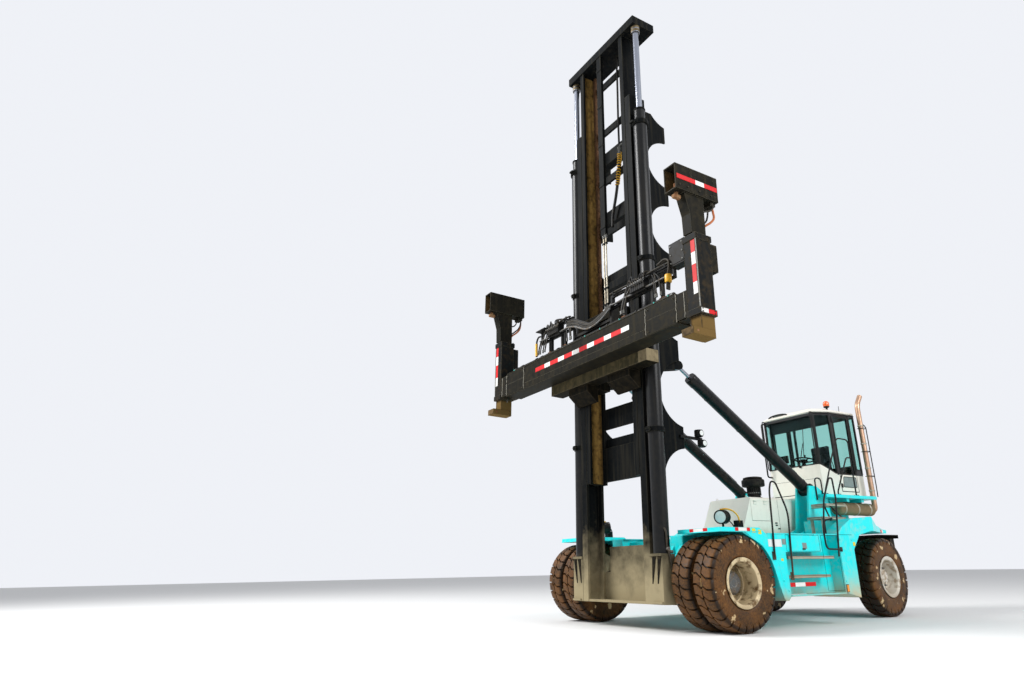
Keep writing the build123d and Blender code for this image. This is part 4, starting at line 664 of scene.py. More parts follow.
def driveRimShapes(s, side):
    axisY, z = 0, tyre["radius"]
    disc, face = s["discX"], s["hubFace"]
    shapes = rimShapes((side * outerCenter, axisY, z)) + rimShapes((side * innerCenter, axisY, z))
    shapes += [revolved([(innerCenter + 0.1, 0.296), (disc + 0.005, 0.296), (outerCenter - 0.1, 0.296),
                         (outerCenter - 0.1, 0.27), (disc + 0.005, 0.262), (innerCenter + 0.1, 0.27)], (0, axisY, z),
                        axis=(side, 0, 0), segments=72, ring=True),
               (*drum(disc - 0.012, disc + 0.012, 0.285, (0, axisY, z), axis=(side, 0, 0), segments=72), "rimCream")]
    hub = [(innerCenter - 0.12, 0), (innerCenter - 0.12, 0.15), (disc + 0.012, 0.165), (disc + 0.03, 0.186),
           (disc + 0.04, 0.186), (disc + 0.042, 0.16), (face - 0.07, 0.157), (face - 0.06, 0.166),
           (face - 0.035, 0.166), (face - 0.03, 0.15), (face - 0.006, 0.14), (face, 0.125), (face, 0.06),
           (face - 0.006, 0.055), (face - 0.006, 0)]
    shapes += [(*revolved(hub, (0, axisY, z), axis=(side, 0, 0), segments=56), "hubGrey")]
    shapes += studShapes(s["studs"], s["studCircle"], side * (disc + 0.012), 0, 0.017, 0.05, side)
    shapes += studShapes(16, 0.153, side * (face - 0.035), 0, 0.008, 0.014, side)
    shapes += studShapes(8, 0.095, side * face, 0, 0.008, 0.012, side)
    stem = [(side * (disc + 0.03), 0, z + 0.262), (side * (outerCenter + 0.05), 0, z + 0.268),
            (side * (outerCenter + 0.1), 0, z + 0.25)]
    shapes += [(*hose(stem, 0.006), "wornSteel")]
    return shapes


def steerRimShapes(side):
    axisY, z = wheelbase, tyre["radius"]
    disc = steerCenter - tyre["width"] / 2 + 0.15
    shapes = rimShapes((side * steerCenter, axisY, z))
    dish = [(disc - 0.012, 0), (disc - 0.012, 0.296), (disc + 0.012, 0.296), (disc + 0.014, 0.24),
            (disc + 0.04, 0.215), (disc + 0.042, 0.15), (disc + 0.055, 0.14), (disc + 0.11, 0.118),
            (disc + 0.122, 0.105), (disc + 0.122, 0)]
    shapes += [revolved(dish, (0, axisY, z), axis=(side, 0, 0), segments=64)]
    hole = revolved([(0, 0.03), (0.004, 0.036), (0.006, 0.036), (0.006, 0.03)],
                    (side * (disc + 0.012), axisY, z + 0.265), axis=(side, 0, 0), segments=12, ring=True)
    shapes += around(hole, 10, (0, axisY, z))
    shapes += studShapes(10, 0.182, side * (disc + 0.04), axisY, 0.018, 0.045, side)
    shapes += studShapes(6, 0.085, side * (disc + 0.122), axisY, 0.007, 0.01, side)
    return shapes


for side, word in sides:
    piece(f"twin_rims_{word}", f"drive_wheel_{word}", "rimCream", driveRimShapes(driveRim, side),
          replaces=[f"drive_rims_{word}"])
    piece(f"steered_rim_{word}", f"steer_wheel_{word}", "rimPale", steered(steerRimShapes(side), side),
          replaces=[f"steer_rim_{word}"])
print("rims done")


# Mast. Measured on the upright mast; piece(mast=True) leans it back.
mast = {"railFront": -0.715, "railRear": -0.335, "cylinder": (1.03, -0.6), "barrelTop": 9.072, "glandTop": 9.38,
        "crossheadLow": 11.402, "chainX": 0.56, "poleX": -0.04}
beamLow = mast["crossheadLow"]


def chainShapes(s, low, high):
    # leaf chain: rounded plates in two alternating stacks along a straight run, with a pin at every pitch
    pitch, y = 0.076, s["railRear"] - 0.1
    turn = np.linspace(-np.pi / 2, np.pi / 2, 5)
    end = np.stack([0.026 * np.cos(turn), 0.026 * np.sin(turn)], -1)
    outline = np.vstack([end + (0, 0), -end + (0, 0)])[:, ::-1]
    outline[:5, 1] += pitch + 0.004
    outline[5:, 1] -= 0.004
    outline[:, 0] += y
    shapes = []
    for stack, offset in (((-0.032, -0.016, 0, 0.016, 0.032), 0), ((-0.024, -0.008, 0.008, 0.024), 1)):
        levels = np.arange(low + offset * pitch, high - pitch, 2 * pitch)
        plate = prism(outline, -0.0035, 0.0035)
        offsets = np.array([(s["chainX"] + x, 0, z) for z in levels for x in stack])
        shapes += [repeated(plate, offsets)]
    pin = rod((s["chainX"] - 0.04, y, 0), (s["chainX"] + 0.04, y, 0), 0.012, 6)
    shapes += [repeated(pin, [(0, 0, z) for z in np.arange(low, high, pitch)])]
    return shapes


chain = chainShapes(mast, 4.32, beamLow - 0.02)
piece("leaf_chains", "inner_mast", "chainRust", both(chain), mast=True, replaces=["lift_chains"])

cylX, cylY = mast["cylinder"]
collars = []
for level in (3.045, 6.145):
    collars += [ring(level - 0.045, level + 0.045, 0.128, 0.146, (cylX, cylY, 0), segments=32)]
    for y in (-0.165, 0.165):
        collars += [slab(y + cylY - 0.012, y + cylY + 0.012, level - 0.04, level + 0.04, cylX - 0.05, cylX + 0.05),
                    rod((cylX - 0.03, cylY + y * 1.2, level), (cylX - 0.03, cylY + y * 0.7, level), 0.011, 6),
                    rod((cylX + 0.03, cylY + y * 1.2, level), (cylX + 0.03, cylY + y * 0.7, level), 0.011, 6)]
top = mast["barrelTop"]
collars += [revolved([(top - 0.075, 0.129), (top - 0.075, 0.152), (top - 0.06, 0.158), (top + 0.005, 0.158),
                      (top + 0.022, 0.148), (top + 0.022, 0.104)], (cylX, cylY, 0), segments=40, ring=True)]
collars += around(rod((cylX + 0.135, cylY, top + 0.015), (cylX + 0.135, cylY, top + 0.045), 0.014, 6), 8,
                  (cylX, cylY, 0), "Z", 22)
collars += [slab(cylY - 0.21, cylY + 0.21, top - 0.05, top - 0.01, cylX - 0.075, cylX + 0.025)]
glandTop = mast["glandTop"]
collars += [revolved([(glandTop - 0.04, 0.104), (glandTop - 0.04, 0.116), (glandTop - 0.01, 0.116), (glandTop, 0.106),
                      (glandTop, 0.061), (glandTop - 0.04, 0.061)], (cylX, cylY, 0), segments=40, ring=True)]
piece("barrel_clamps", "outer_mast", "mastBlack", both(collars), mast=True, bevel=0.004)

rodTops = [revolved([(beamLow - 0.15, 0.061), (beamLow - 0.15, 0.082), (beamLow - 0.14, 0.0885),
                     (beamLow - 0.075, 0.0885), (beamLow - 0.068, 0.08), (beamLow - 0.055, 0.0885),
                     (beamLow + 0.002, 0.0885), (beamLow + 0.002, 0.061)], (cylX, cylY, 0), segments=36, ring=True)]
piece("rod_collars", "inner_mast", "brassWorn", both(rodTops), mast=True, bevel=0.002)

# The pole in the middle of the inner mast: clamps on it, and a banded hose beside it
poleParts, poleX = [], mast["poleX"]
frontY = mast["railFront"] - 0.015
for level in np.arange(7.25, 11.3, 0.95):
    poleParts += [slab(frontY - 0.012, frontY + 0.02, level - 0.02, level + 0.02, poleX - 0.078, poleX + 0.078)]
for level in (5.62, 5.95, 6.9):
    poleParts += [slab(frontY + 0.008, frontY + 0.052, level - 0.018, level + 0.018, poleX - 0.055, poleX + 0.075)]
for x in (-0.025, 0.045):
    poleParts += [(*revolved([(7.02, 0.024), (7.02, 0.03), (7.1, 0.03), (7.1, 0.024), (7.13, 0.018), (7.13, 0)],
                             (poleX + x, frontY + 0.03, 0), segments=6), "zincPlate"),
                  (*revolved([(5.5, 0), (5.5, 0.026), (5.56, 0.026), (5.565, 0.02), (5.6, 0.02), (5.6, 0)],
                             (poleX + x, frontY + 0.03, 0), segments=6), "zincPlate")]
piece("pole_clamps", "inner_mast", "mastBlack", poleParts, mast=True, bevel=0.003)

bandedHose = {"radius": 0.03, "coil": 0.04, "turns": 13}


def bandedShapes(s):
    # a hose on a smooth path, with a yellow guard wound on it: guard(t) = path(t) + coil * (cos wt * n + sin wt * b)
    top = smoothPath([(0.165, -0.395, 11.395), (0.165, -0.4, 10.6), (0.155, -0.405, 9.8), (0.16, -0.41, 9.1)], 6)
    low = smoothPath([(0.16, -0.41, 8.98), (0.15, -0.415, 8.75), (0.12, -0.425, 8.48), (0.075, -0.425, 8.25),
                      (0.01, -0.42, 8.02), (-0.06, -0.41, 7.85), (-0.13, -0.4, 7.66), (-0.15, -0.398, 7.42)], 8)
    t = np.linspace(0, 1, s["turns"] * 10)
    place = np.stack([np.interp(t * 24, np.arange(len(low)), low[:, k]) for k in range(3)], -1)
    turn = 2 * np.pi * s["turns"] * t
    guard = place + s["coil"] * np.stack([np.cos(turn), np.sin(turn), 0 * turn], -1)
    fitting = revolved([(8.93, 0), (8.93, 0.04), (8.99, 0.04), (9, 0.03), (9.06, 0.03), (9.065, 0.042), (9.11, 0.042),
                        (9.11, 0)], (0.16, -0.41, 0), segments=8)
    elbow = hose([(0.16, -0.41, 9.08), (0.185, -0.395, 9.16), (0.23, -0.37, 9.18)], 0.022, 10)
    return [(*tube(top, 0.022, 10), "rubberHose"), (*tube(low, s["radius"], 12), "rubberHose"),
            (*tube(guard, 0.011, 6), "guardYellow"), (*fitting, "zincPlate"), (*elbow, "zincPlate")]


piece("banded_hose", "inner_mast", "rubberHose", bandedShapes(bandedHose), mast=True, sharp=40)

# Cylinder feet: brackets, a short looped hose and its fittings
feet = []
footY = cylY - 0.14
feet += [(*hose([(1.13, -0.6, 1.16), (1.175, -0.62, 1.22), (1.185, -0.63, 1.4), (1.15, -0.635, 1.475),
                 (1.115, -0.63, 1.42), (1.11, -0.62, 1.28), (1.135, -0.6, 1.14)], 0.016, 10), "hoseTan"),
         (*hose([(1.155, -0.6, 1.22), (1.19, -0.58, 1.05), (1.2, -0.55, 0.85), (1.19, -0.5, 0.62),
                 (1.17, -0.44, 0.5)], 0.017, 10), "hoseTan"),
         (*rod((1.09, -0.6, 1.17), (1.2, -0.6, 1.17), 0.03, 8), "hubGrey"),
         (*rod((1.16, -0.57, 1.13), (1.16, -0.5, 1.13), 0.026, 8), "hubGrey"),
         slab(cylX - 0.1, cylX + 0.125, 0.372, 0.4, footY - 0.012, footY + 0.25, "xz")]
# two near-black wedges on the foot plate: painted shadow
for start, lean in ((0.925, 0.075), (1.045, 0.075)):
    feet += [(*prism([(start, 0.66), (start + 0.018, 0.66), (start + lean + 0.03, 1.055),
                      (start + lean - 0.055, 1.055)], footY + 0.0135, footY + 0.021, "xz"), "shadowBlack")]
piece("cylinder_feet", "outer_mast", "mastBlack", both(feet), mast=True, bevel=0.003)
# Inside of the far rail: old grease and rust on its web
web = blocks([(-0.6849, -0.6847, -0.668, -0.382, 2.36, 11.39)])
piece("rail_grease", "inner_mast", "webOchre", [web], mast=True)
# Carriage: the worn front of its long beam, its pale end, and a near-black sheet under the beam that is painted shade
face = [blocks([(-1.386, 1.205, -1.0525, -1.0495, 4.084, 4.29)]),
        (*blocks([(1.207, 1.388, -1.054, -1.0495, 4.082, 4.292)]), "tanFace"),
        (*blocks([(1.3895, 1.392, -1.046, -0.784, 4.082, 4.29)]), "tanFace"),
        (*blocks([(-1.384, 1.384, -1.045, -0.79, 4.076, 4.0785)]), "oliveWorn")]
piece("carriage_face", "carriage", "oliveFace", face, mast=True)
print("mast done")

# Spreader. Measured on the upright mast, like the mast's own pieces.
spreader = {"front": -1.417, "bottom": 4.269, "top": 4.739, "half": 2.53, "rackFront": -1.138, "rackRear": -1.093,
            "rackLow": 5.19, "rackHigh": 5.4, "postIn": 2.763, "postOut": 3.01, "postFront": -1.426,
            "postRear": -1.126}


def tapeShapes(cuts, start, place):
    # a reflective band: cuts are the ends of its fields, red and white in turn; place(a, b) gives one field
    return [(*place(a, b), "tapeRed" if (index + start) % 2 == 0 else "tapeWhite")
            for index, (a, b) in enumerate(zip(cuts, cuts[1:]))]


def wobble(start, end, amount, count, seed):
    # a weld run: a straight line whose points stray sideways by smoothed noise
    noise = np.random.default_rng(seed).normal(0, 1, (count + 6, 3))
    kernel = np.ones(4) / 4
    stray = np.stack([np.convolve(noise[:, k], kernel, "same") for k in range(3)], -1)[3:-3] * amount
    line = np.array(start) + np.linspace(0, 1, count)[:, None] * (np.array(end) - np.array(start))
    return line + stray


s = spreader
tapeCuts = (-1.4, -1.075, -0.884, -0.613, -0.417, -0.162, 0.055, 0.294, 0.497, 0.778, 0.969, 1.232, 1.436)
beamTape = tapeShapes(tapeCuts, 0, lambda a, b: blocks([(a, b, s["front"] - 0.0015, s["front"], 4.512, 4.596)]))
piece("beam_tape", "spreader", "tapeRed", beamTape, mast=True)

plates = [blocks([(1.845, s["half"] - 0.002, s["front"] - 0.007, s["front"], s["bottom"] + 0.012, s["top"] - 0.01),
                  (-s["half"] + 0.002, -1.845, s["front"] - 0.007, s["front"], s["bottom"] + 0.012, s["top"] - 0.01),
                  (-1.8, 1.8, s["front"] - 0.005, s["front"], s["bottom"] + 0.004, s["bottom"] + 0.12),
                  (-2.5, 2.5, s["front"] - 0.01, s["front"] + 0.05, s["top"], s["top"] + 0.012)])]
welds = []
for x, seed in ((1.838, 5), (-1.838, 9), (2.525, 12), (-2.525, 15)):
    welds += [(*tube(wobble((x, s["front"] - 0.006, s["bottom"] + 0.02), (x, s["front"] - 0.006, s["top"] - 0.015),
                            0.006, 44, seed), 0.0055, 6), "weldPale")]
for x0, x1, z, seed in ((-1.79, 1.79, s["bottom"] + 0.124, 21), (1.86, 2.5, 4.515, 22), (-2.5, -1.86, 4.515, 23)):
    welds += [tube(wobble((x0, s["front"] - 0.004, z), (x1, s["front"] - 0.004, z), 0.0015, 60, seed), 0.0035, 5)]
# plugs along the top edge, turquoise and bare
plug = revolved([(0, 0), (0, 0.02), (0.022, 0.02), (0.026, 0.014), (0.048, 0.014), (0.052, 0.009), (0.052, 0)],
                (0, s["front"] + 0.045, s["top"] + 0.01), segments=10)
welds += [(*repeated(plug, [(x, 0, 0) for x in (-2.3, 0.18, 0.62, 1.15, 2, 2.32)]), "plugTeal"),
          (*repeated(plug, [(x, 0.02, 0) for x in (-0.55, -0.36, -1.15, 1.62)]), "zincPlate")]
bolt = revolved([(0, 0), (0, 0.015), (0.012, 0.015), (0.012, 0.008), (0.02, 0.008), (0.02, 0)],
                (0, s["front"] - 0.0065, 0), axis=(0, -1, 0), segments=6)
welds += [(*repeated(bolt, [(side * x, 0, z) for side in (1, -1) for x in (1.9, 2.47) for z in (4.32, 4.68)]),
           "spreaderGrey")]
piece("beam_plates", "spreader", "spreaderGrey", plates + welds, mast=True, bevel=0.0015)

# Hydraulics over the beam: tube clamps, valves, loops of hose
rack = []
for y, z, reach in ((-1.297, 4.809, 2.28), (-1.207, 4.863, 2.2)):
    for x in np.arange(-reach, reach + 0.01, reach / 3):
        rack += [ring(-0.022, 0.022, 0.036, 0.047, (x, y, z), axis=alongX, segments=20),
                 blocks([(x - 0.02, x + 0.02, y - 0.016, y + 0.016, 4.742, z - 0.03)])]
    for x in (-reach - 0.08, reach + 0.06):
        rack += [(*revolved([(-0.03, 0), (-0.03, 0.04), (0, 0.043), (0.03, 0.04), (0.03, 0)], (x, y, z), axis=alongX,
                            segments=8), "hubGrey")]
frontY, rearY, rackLow, rackHigh = (s[key] for key in ("rackFront", "rackRear", "rackLow", "rackHigh"))
valves, sections, pitch = np.random.default_rng(11), 7, 0.052
for x0, x1 in ((-1.6, -0.56), (0.68, 2.2)):
    middle = (x0 + x1) / 2 + 0.02
    # valve block: sections side by side, each with a spool cap and two fittings
    for k in range(sections):
        x = middle - 0.18 + pitch * k
        rack += [blocks([(x, x + 0.047, frontY - 0.105, frontY - 0.06, rackLow + 0.05, rackHigh - 0.02)]),
                 (*revolved([(0, 0), (0, 0.017), (0.03, 0.017), (0.034, 0.012), (0.055, 0.012), (0.055, 0)],
                            (x + 0.0235, frontY - 0.105, rackLow + 0.16), axis=(0, -1, 0), segments=8),
                  "zincPlate" if k % 2 else "hubGrey"),
                 (*drum(0, 0.04, 0.014, (x + 0.0235, frontY - 0.082, rackHigh - 0.02), segments=6), "hubGrey")]
    # hoses that leave the valve block, run along the rack and dip to the beam
    for k in range(sections):
        x = middle - 0.155 + pitch * k
        reach, lift, side = valves.uniform(0.25, 0.5), valves.uniform(0.05, 0.13), (1 if k > 3 else -1)
        path = [(x, frontY - 0.082, rackHigh + 0.015), (x + side * 0.04, frontY - 0.085, rackHigh + lift),
                (x + side * reach * 0.45, frontY - 0.06 + 0.01 * k, rackHigh + lift * 0.75),
                (x + side * reach * 0.85, frontY - 0.04, rackLow + 0.14),
                (x + side * reach, frontY - 0.075, rackLow - 0.05),
                (x + side * (reach + 0.03), frontY - 0.09, rackLow - 0.21)]
        rack += [(*hose(path, 0.0125 + 0.002 * (k % 2), 9, 7), "rubberHose" if k % 3 else "hoseTan"),
                 (*drum(-0.03, 0.03, 0.018, path[-1], segments=6), "zincPlate")]
    # long hoses laid on the rack's rails
    for k, (dy, dz) in enumerate(((-0.022, 0.062), (-0.052, 0.058), (-0.022, -0.16), (-0.054, -0.158),
                                  (0.03, 0.064))):
        xs = np.linspace(x0, x1, 9)
        path = np.stack([xs, frontY + dy + valves.normal(0, 0.004, 9), rackHigh + dz + valves.normal(0, 0.006, 9)],
                        -1)
        rack += [(*hose(path, 0.0135, 9, 5), ("rubberHose", "hoseTan", "rubberHose", "hubGrey", "rubberHose")[k])]
    for x in np.linspace(x0 + 0.1, x1 - 0.1, 4):
        rack += [blocks([(x - 0.012, x + 0.012, frontY - 0.07, rearY + 0.01, rackHigh + 0.072, rackHigh + 0.08),
                         (x - 0.012, x + 0.012, frontY - 0.07, frontY - 0.062, rackHigh + 0.02, rackHigh + 0.08)])]
# hoses between the racks, over the middle of the carriage
for k in range(6):
    path = [(-0.62, frontY - 0.03 - 0.012 * k, rackHigh - 0.02 - 0.03 * k),
            (-0.4, frontY - 0.05, rackHigh - 0.06 - 0.03 * k),
            (-0.1, frontY - 0.03 - 0.01 * (k % 3), 5.19 - 0.028 * k), (0.12, frontY - 0.06, 5.1 - 0.018 * k),
            (0.38, frontY - 0.04, 5.17 - 0.02 * k), (0.72, frontY - 0.02 - 0.012 * k, rackHigh - 0.1 - 0.025 * k)]
    rack += [(*hose(path, 0.0135 + 0.003 * (k % 2), 9, 7),
              ("rubberHose", "hoseTan", "rubberHose", "hoseTan", "rubberHose", "hubGrey")[k])]
# left end: three grey loops into a yellow sleeve; right end: a single hose with a yellow sleeve
for k in range(3):
    path = [(1.95, frontY - 0.02 - 0.03 * k, 5.47 + 0.012 * k), (2.12, frontY - 0.03 - 0.03 * k, 5.5 + 0.012 * k),
            (2.205 + 0.012 * k, frontY - 0.04 - 0.03 * k, 5.46), (2.215 + 0.01 * k, frontY - 0.05 - 0.028 * k, 5.33),
            (2.2, frontY - 0.06 - 0.026 * k, 5.18), (2.185, frontY - 0.07 - 0.024 * k, 4.98)]
    rack += [(*hose(path, 0.0165, 10, 8), "hoseTan")]
rack += [(*revolved([(5.1, 0), (5.1, 0.052), (5.115, 0.056), (5.215, 0.056), (5.23, 0.052), (5.23, 0)],
                    (2.195, frontY - 0.088, 0), segments=14), "guardYellow")]
path = [(-1.5, frontY - 0.05, 5.33), (-1.62, frontY - 0.07, 5.34), (-1.66, frontY - 0.09, 5.24),
        (-1.655, frontY - 0.1, 5.08), (-1.63, frontY - 0.11, 4.93)]
rack += [(*hose(path, 0.018, 10, 8), "rubberHose"), (*tube(smoothPath(path, 8)[18:], 0.027, 12), "guardYellow")]
# lugs that carry the racks, with rust on their pins
for x in (-1.3, -0.78, 1.0, 1.95):
    rack += [blocks([(x - 0.03, x + 0.03, frontY - 0.01, frontY + 0.035, s["top"], rackLow + 0.01)]),
             (*drum(-0.05, 0.05, 0.026, (x, frontY - 0.005, 4.93), axis=alongX, segments=10), "rust")]
# cabinet at the end of the long rack: lid, raised panel and studs
rack += [blocks([(2.225, 2.565, -1.208, -1.198, 5.335, 5.735), (2.24, 2.55, -1.214, -1.206, 5.36, 5.71)])]
stud = revolved([(0, 0), (0, 0.014), (0.012, 0.012), (0.012, 0)], (0, -1.214, 0), axis=(0, -1, 0), segments=8)
rack += [(*repeated(stud, [(x, 0, z) for x in (2.27, 2.52) for z in (5.39, 5.53, 5.68)]), "zincPlate")]
piece("rack_details", "spreader", "blackPlastic", rack, mast=True, bevel=0.0015)

# Arms: sleeve bands, corner edges, control box, the mounting plate; the same on both sides
arm = []
inX, outX = s["postIn"], s["postOut"]
arm += tapeShapes((5.45, 5.25, 5.055, 4.775, 4.59), 0,
                  lambda a, b: blocks([(2.905, 2.99, s["postFront"] - 0.0015, s["postFront"], b, a)]))
arm += tapeShapes((-1.425, -1.285, -1.125), 1,
                  lambda a, b: blocks([(outX + 0.015, outX + 0.0165, a, b, 4.288, 4.354)]))
# a pale line up the sleeve's outer front corner: worn edge, partly painted highlight
arm += [(*tube(wobble((outX, s["postFront"], 4.37), (outX, s["postFront"], 5.455), 0.0008, 60, 31), 0.0085, 8),
         "edgePale"), (*tube(wobble((inX, s["postFront"], 4.37), (inX, s["postFront"], 5.455), 0.0008, 60, 32), 0.005,
                             6), "spreaderGrey"), blocks([(2.545, inX + 0.01, -1.423, -1.065, 4.3, 4.715)]),
        (*tube(wobble((2.7, -1.425, 4.3), (2.7, -1.425, 4.71), 0.004, 40, 33), 0.005, 6), "weldPale")]
for z in (4.3, 4.345, 5.475, 5.53):
    for y in (s["postFront"] + 0.03, s["postRear"] - 0.03):
        arm += [drum(0, 0.008, 0.011, (outX + 0.015, y, z), axis=alongX, segments=6)]
# control box lid and cable
arm += [blocks([(outX - 0.005, outX + 0.004, -1.12, -1.002, 5.02, 5.42), (2.8, 3, -0.996, -0.99, 5.03, 5.41)]),
        (*hose([(2.93, -1.06, 5.44), (2.93, -1.05, 5.55), (2.91, -1.06, 5.62), (2.9, -1.09, 5.56), (2.9, -1.1, 5.5)],
               0.014, 9), "rubberHose"),
        (*hose([(2.86, -1.05, 5.01), (2.84, -1.03, 4.9), (2.78, -1.05, 4.8), (2.7, -1.06, 4.76)], 0.013, 9),
         "rubberHose")]
# foot: guide plates and a pin through the block
arm += [(*blocks([(2.775, 2.998, -1.583, -1.578, 3.945, 4.049), (2.782, 2.794, -1.402, -1.145, 4.06, 4.27),
                  (2.98, 2.992, -1.402, -1.145, 4.06, 4.27)]), "ochreWorn"),
        (*rod((2.76, -1.5, 3.995), (3.008, -1.5, 3.995), 0.022, 10), "rust"),
        (*tube(np.array([(2.7 + 0.03 * math.cos(a), -1.3, 4.235 + 0.03 * math.sin(a))
                         for a in np.linspace(0, 2 * math.pi, 18, endpoint=False)]), 0.006, 6, closed=True),
         "hubGrey")]

# Posts: head bands, a black sheet of painted shade and worn faces inside the bracket, hoses behind, caps and seams on
# the head
post, headLow, headHigh = [], 6.235, 6.625
post += tapeShapes((-1.715, -1.335, -1.155, -0.885), 0,
                   lambda a, b: blocks([(outX, outX + 0.0055, a, b, 6.385, 6.465)]))
# the black sheet between the bracket's side plates is painted shade
post += [(*blocks([(inX + 0.019, outX - 0.019, -1.42, -1.416, headLow, headHigh)]), "shadowBlack"),
         (*blocks([(inX + 0.0185, inX + 0.021, -1.725, -1.425, headLow, headHigh),
                   (outX - 0.021, outX - 0.0185, -1.725, -1.425, headLow, headHigh),
                   (inX + 0.03, outX - 0.03, -1.725, -1.425, 6.2335, 6.2365)]), "ochreWorn")]
# loops of hose at the back of the head
post += [(*hose([(2.89, -0.9, 6.24), (2.9, -0.885, 6.1), (2.92, -0.9, 5.98), (2.925, -0.98, 5.88), (2.9, -1.08, 5.8),
                 (2.88, -1.15, 5.72)], 0.018, 10, 8), "hoseRust"),
         (*hose([(2.84, -0.93, 6.24), (2.83, -0.93, 6.08), (2.84, -0.98, 5.95), (2.86, -1.07, 5.86),
                 (2.87, -1.14, 5.8)], 0.015, 10, 8), "rubberHose"),
         (*hose([(2.96, -0.96, 6.215), (2.975, -0.96, 6.12), (2.97, -1.02, 6.05), (2.95, -1.1, 6.02),
                 (2.93, -1.17, 6)], 0.014, 10, 8), "hoseTan"),
         (*blocks([(2.8, 2.97, -1, -0.9, 6.15, 6.214), (2.83, 2.94, -1.175, -1.145, 5.68, 6.05)]), "spreaderGrey"),
         (*blocks([(2.8, 2.97, -1.5, -1.425, 6.165, 6.214)]), "rust")]
for y in (-1.62, -1.02):
    post += [(*revolved([(0, 0), (0, 0.055), (0.02, 0.055), (0.028, 0.045), (0.028, 0)], (2.8865, y, 6.6445),
                        segments=20), "spreaderGrey")]
# seams over the head's side: three upright straps, and a weld line under the top
post += [blocks([(outX, outX + 0.004, y - 0.018, y + 0.018, headLow, 6.64) for y in (-1.42, -1.13, -0.95)]),
         tube(wobble((outX, -1.72, 6.632), (outX, -0.885, 6.632), 0.001, 50, 41), 0.0045, 6)]
nut = revolved([(0, 0), (0, 0.016), (0.012, 0.016), (0.012, 0.009), (0.02, 0.009), (0.02, 0)], (outX, 0, 0),
               axis=alongX, segments=6)
post += [(*repeated(nut, [(0, y, 6.29) for y in (-1.66, -1.5, -1.26, -1.02, -0.93)]), "spreaderGrey")]
for side, word in sides:
    for name, body, own in (("arm_details", "arm", arm), ("head_details", "post", post)):
        piece(f"{name}_{word}", f"{body}_{word}", "spreaderGrey", onSide(own, side), mast=True,
              bevel=0.001)
print("spreader done")

# Body. Metres from the drive axle and the ground.
hood = {"half": 0.5, "front": 1.8, "slope": 0.35, "top": 2.13}


def handrail(points, radius, bend, sides=12):
    # a tube along straight runs with bends
    return tube(bentPath(points, bend, 6), radius, sides)


# Handrails: smooth bends, flat feet. They replace the CAD's straight runs with balls at the corners.
railX, guardX = 2.069, 1.06
stepY, towerX, platformTop = 1.95, 0.916, 2.18
leftOnly = [handrail([(railX, 0.72, 1.04), (railX, 0.785, 2.04), (railX, 0.84, 2.18), (railX, 0.945, 2.17),
                      (railX, 1.15, 1.715), (railX, 1.07, 0.74)], 0.014, 0.13),
            handrail([(railX, stepY + 0.3, 1.04), (railX, stepY + 0.34, 1.3), (railX, stepY + 0.45, 1.96),
                      (railX, stepY + 0.43, 2.3), (railX, stepY + 0.35, 2.3), (railX, stepY + 0.135, 1.95),
                      (railX, stepY + 0.005, 1.42), (railX, stepY + 0.015, 1.155), (railX, 2.35, 1.15)], 0.014, 0.09),
            handrail([(guardX, 3.57, platformTop), (guardX, 3.57, 2.24), (guardX, 3.97, 2.98), (guardX, 4.16, 3.285),
                      (guardX, 4.51, 3.275), (guardX, 4.5, 2.3), (guardX, 4.5, platformTop)], 0.014, 0.09),
            handrail([(guardX, 3.95, platformTop), (guardX, 3.95, 2.24), (guardX, 4.37, 2.915),
                      (guardX, 4.505, 2.915)], 0.014, 0.08),
            handrail([(towerX, 3.5, 2.08), (towerX, 3.5, 2.47), (towerX, 3.59, 2.5), (towerX, 3.68, 2.47),
                      (towerX, 3.68, platformTop)], 0.013, 0.07)]
for y, low in ((0.72, 1.02), (1.07, 0.72)):
    leftOnly += [blocks([(2.052, 2.062, y - 0.035, y + 0.035, low - 0.02, low + 0.1)]),
                 rod((bodyHalf, y, low + 0.04), (railX, y, low + 0.04), 0.014, 10)]
leftOnly += [blocks([(bodyHalf + 0.0005, railX, 2.33, 2.37, 1.115, 1.185)])]
for y in (3.57, 3.95, 4.5):
    leftOnly += [blocks([(guardX - 0.035, guardX + 0.035, y - 0.035, y + 0.035, 2.1795, 2.188)])]
    leftOnly += [rod((guardX + dx, y + dy, 2.188), (guardX + dx, y + dy, 2.196), 0.008, 6)
                 for dx, dy in ((-0.026, -0.024), (0.024, 0.024))]
mirrorHoop = mirrored(handrail([(0.58, 4.15, 3.85), (0.58, 4.02, 3.85), (0.58, 4.02, 2.7), (0.58, 4.15, 2.7)], 0.016,
                               0.08))
piece("tube_rails", "chassis", "railBlack", leftOnly + [mirrorHoop], replaces=["handrails"], sharp=40)

# Tapes, plates and the side marker on the turquoise panels; every plate is blank
marks = []
marks += tapeShapes((1.79, 1.7, 1.5, 1.415), 0, lambda a, b: blocks([(b, a, -0.3515, -0.35, 1.413, 1.467)]))
marks += tapeShapes((-0.05, 0.02, 0.2, 0.27), 0,
                    lambda a, b: blocks([(bodyHalf, bodyHalf + 0.0015, a, b, 1.413, 1.467)]))
marks += tapeShapes((0.93, 1.12, 1.35, 1.6), 0,
                    lambda a, b: blocks([(bodyHalf, bodyHalf + 0.0015, max(a, 1.005), b, 0.605, 0.665)]))
slant, slantOut = np.array((-0.4378, 0.8991)), np.array((0.8991, 0.4378)) * 0.0016


def slantTape(a, b):
    # a strip of tape on the rear fender's slanted edge, measured back along it from its rear corner
    ends = [np.array((1.5, 4.45)) - slant * t for t in (a, b)]
    return prism([ends[0], ends[1], ends[1] + slantOut, ends[0] + slantOut], 1.452, 1.508, "xy")


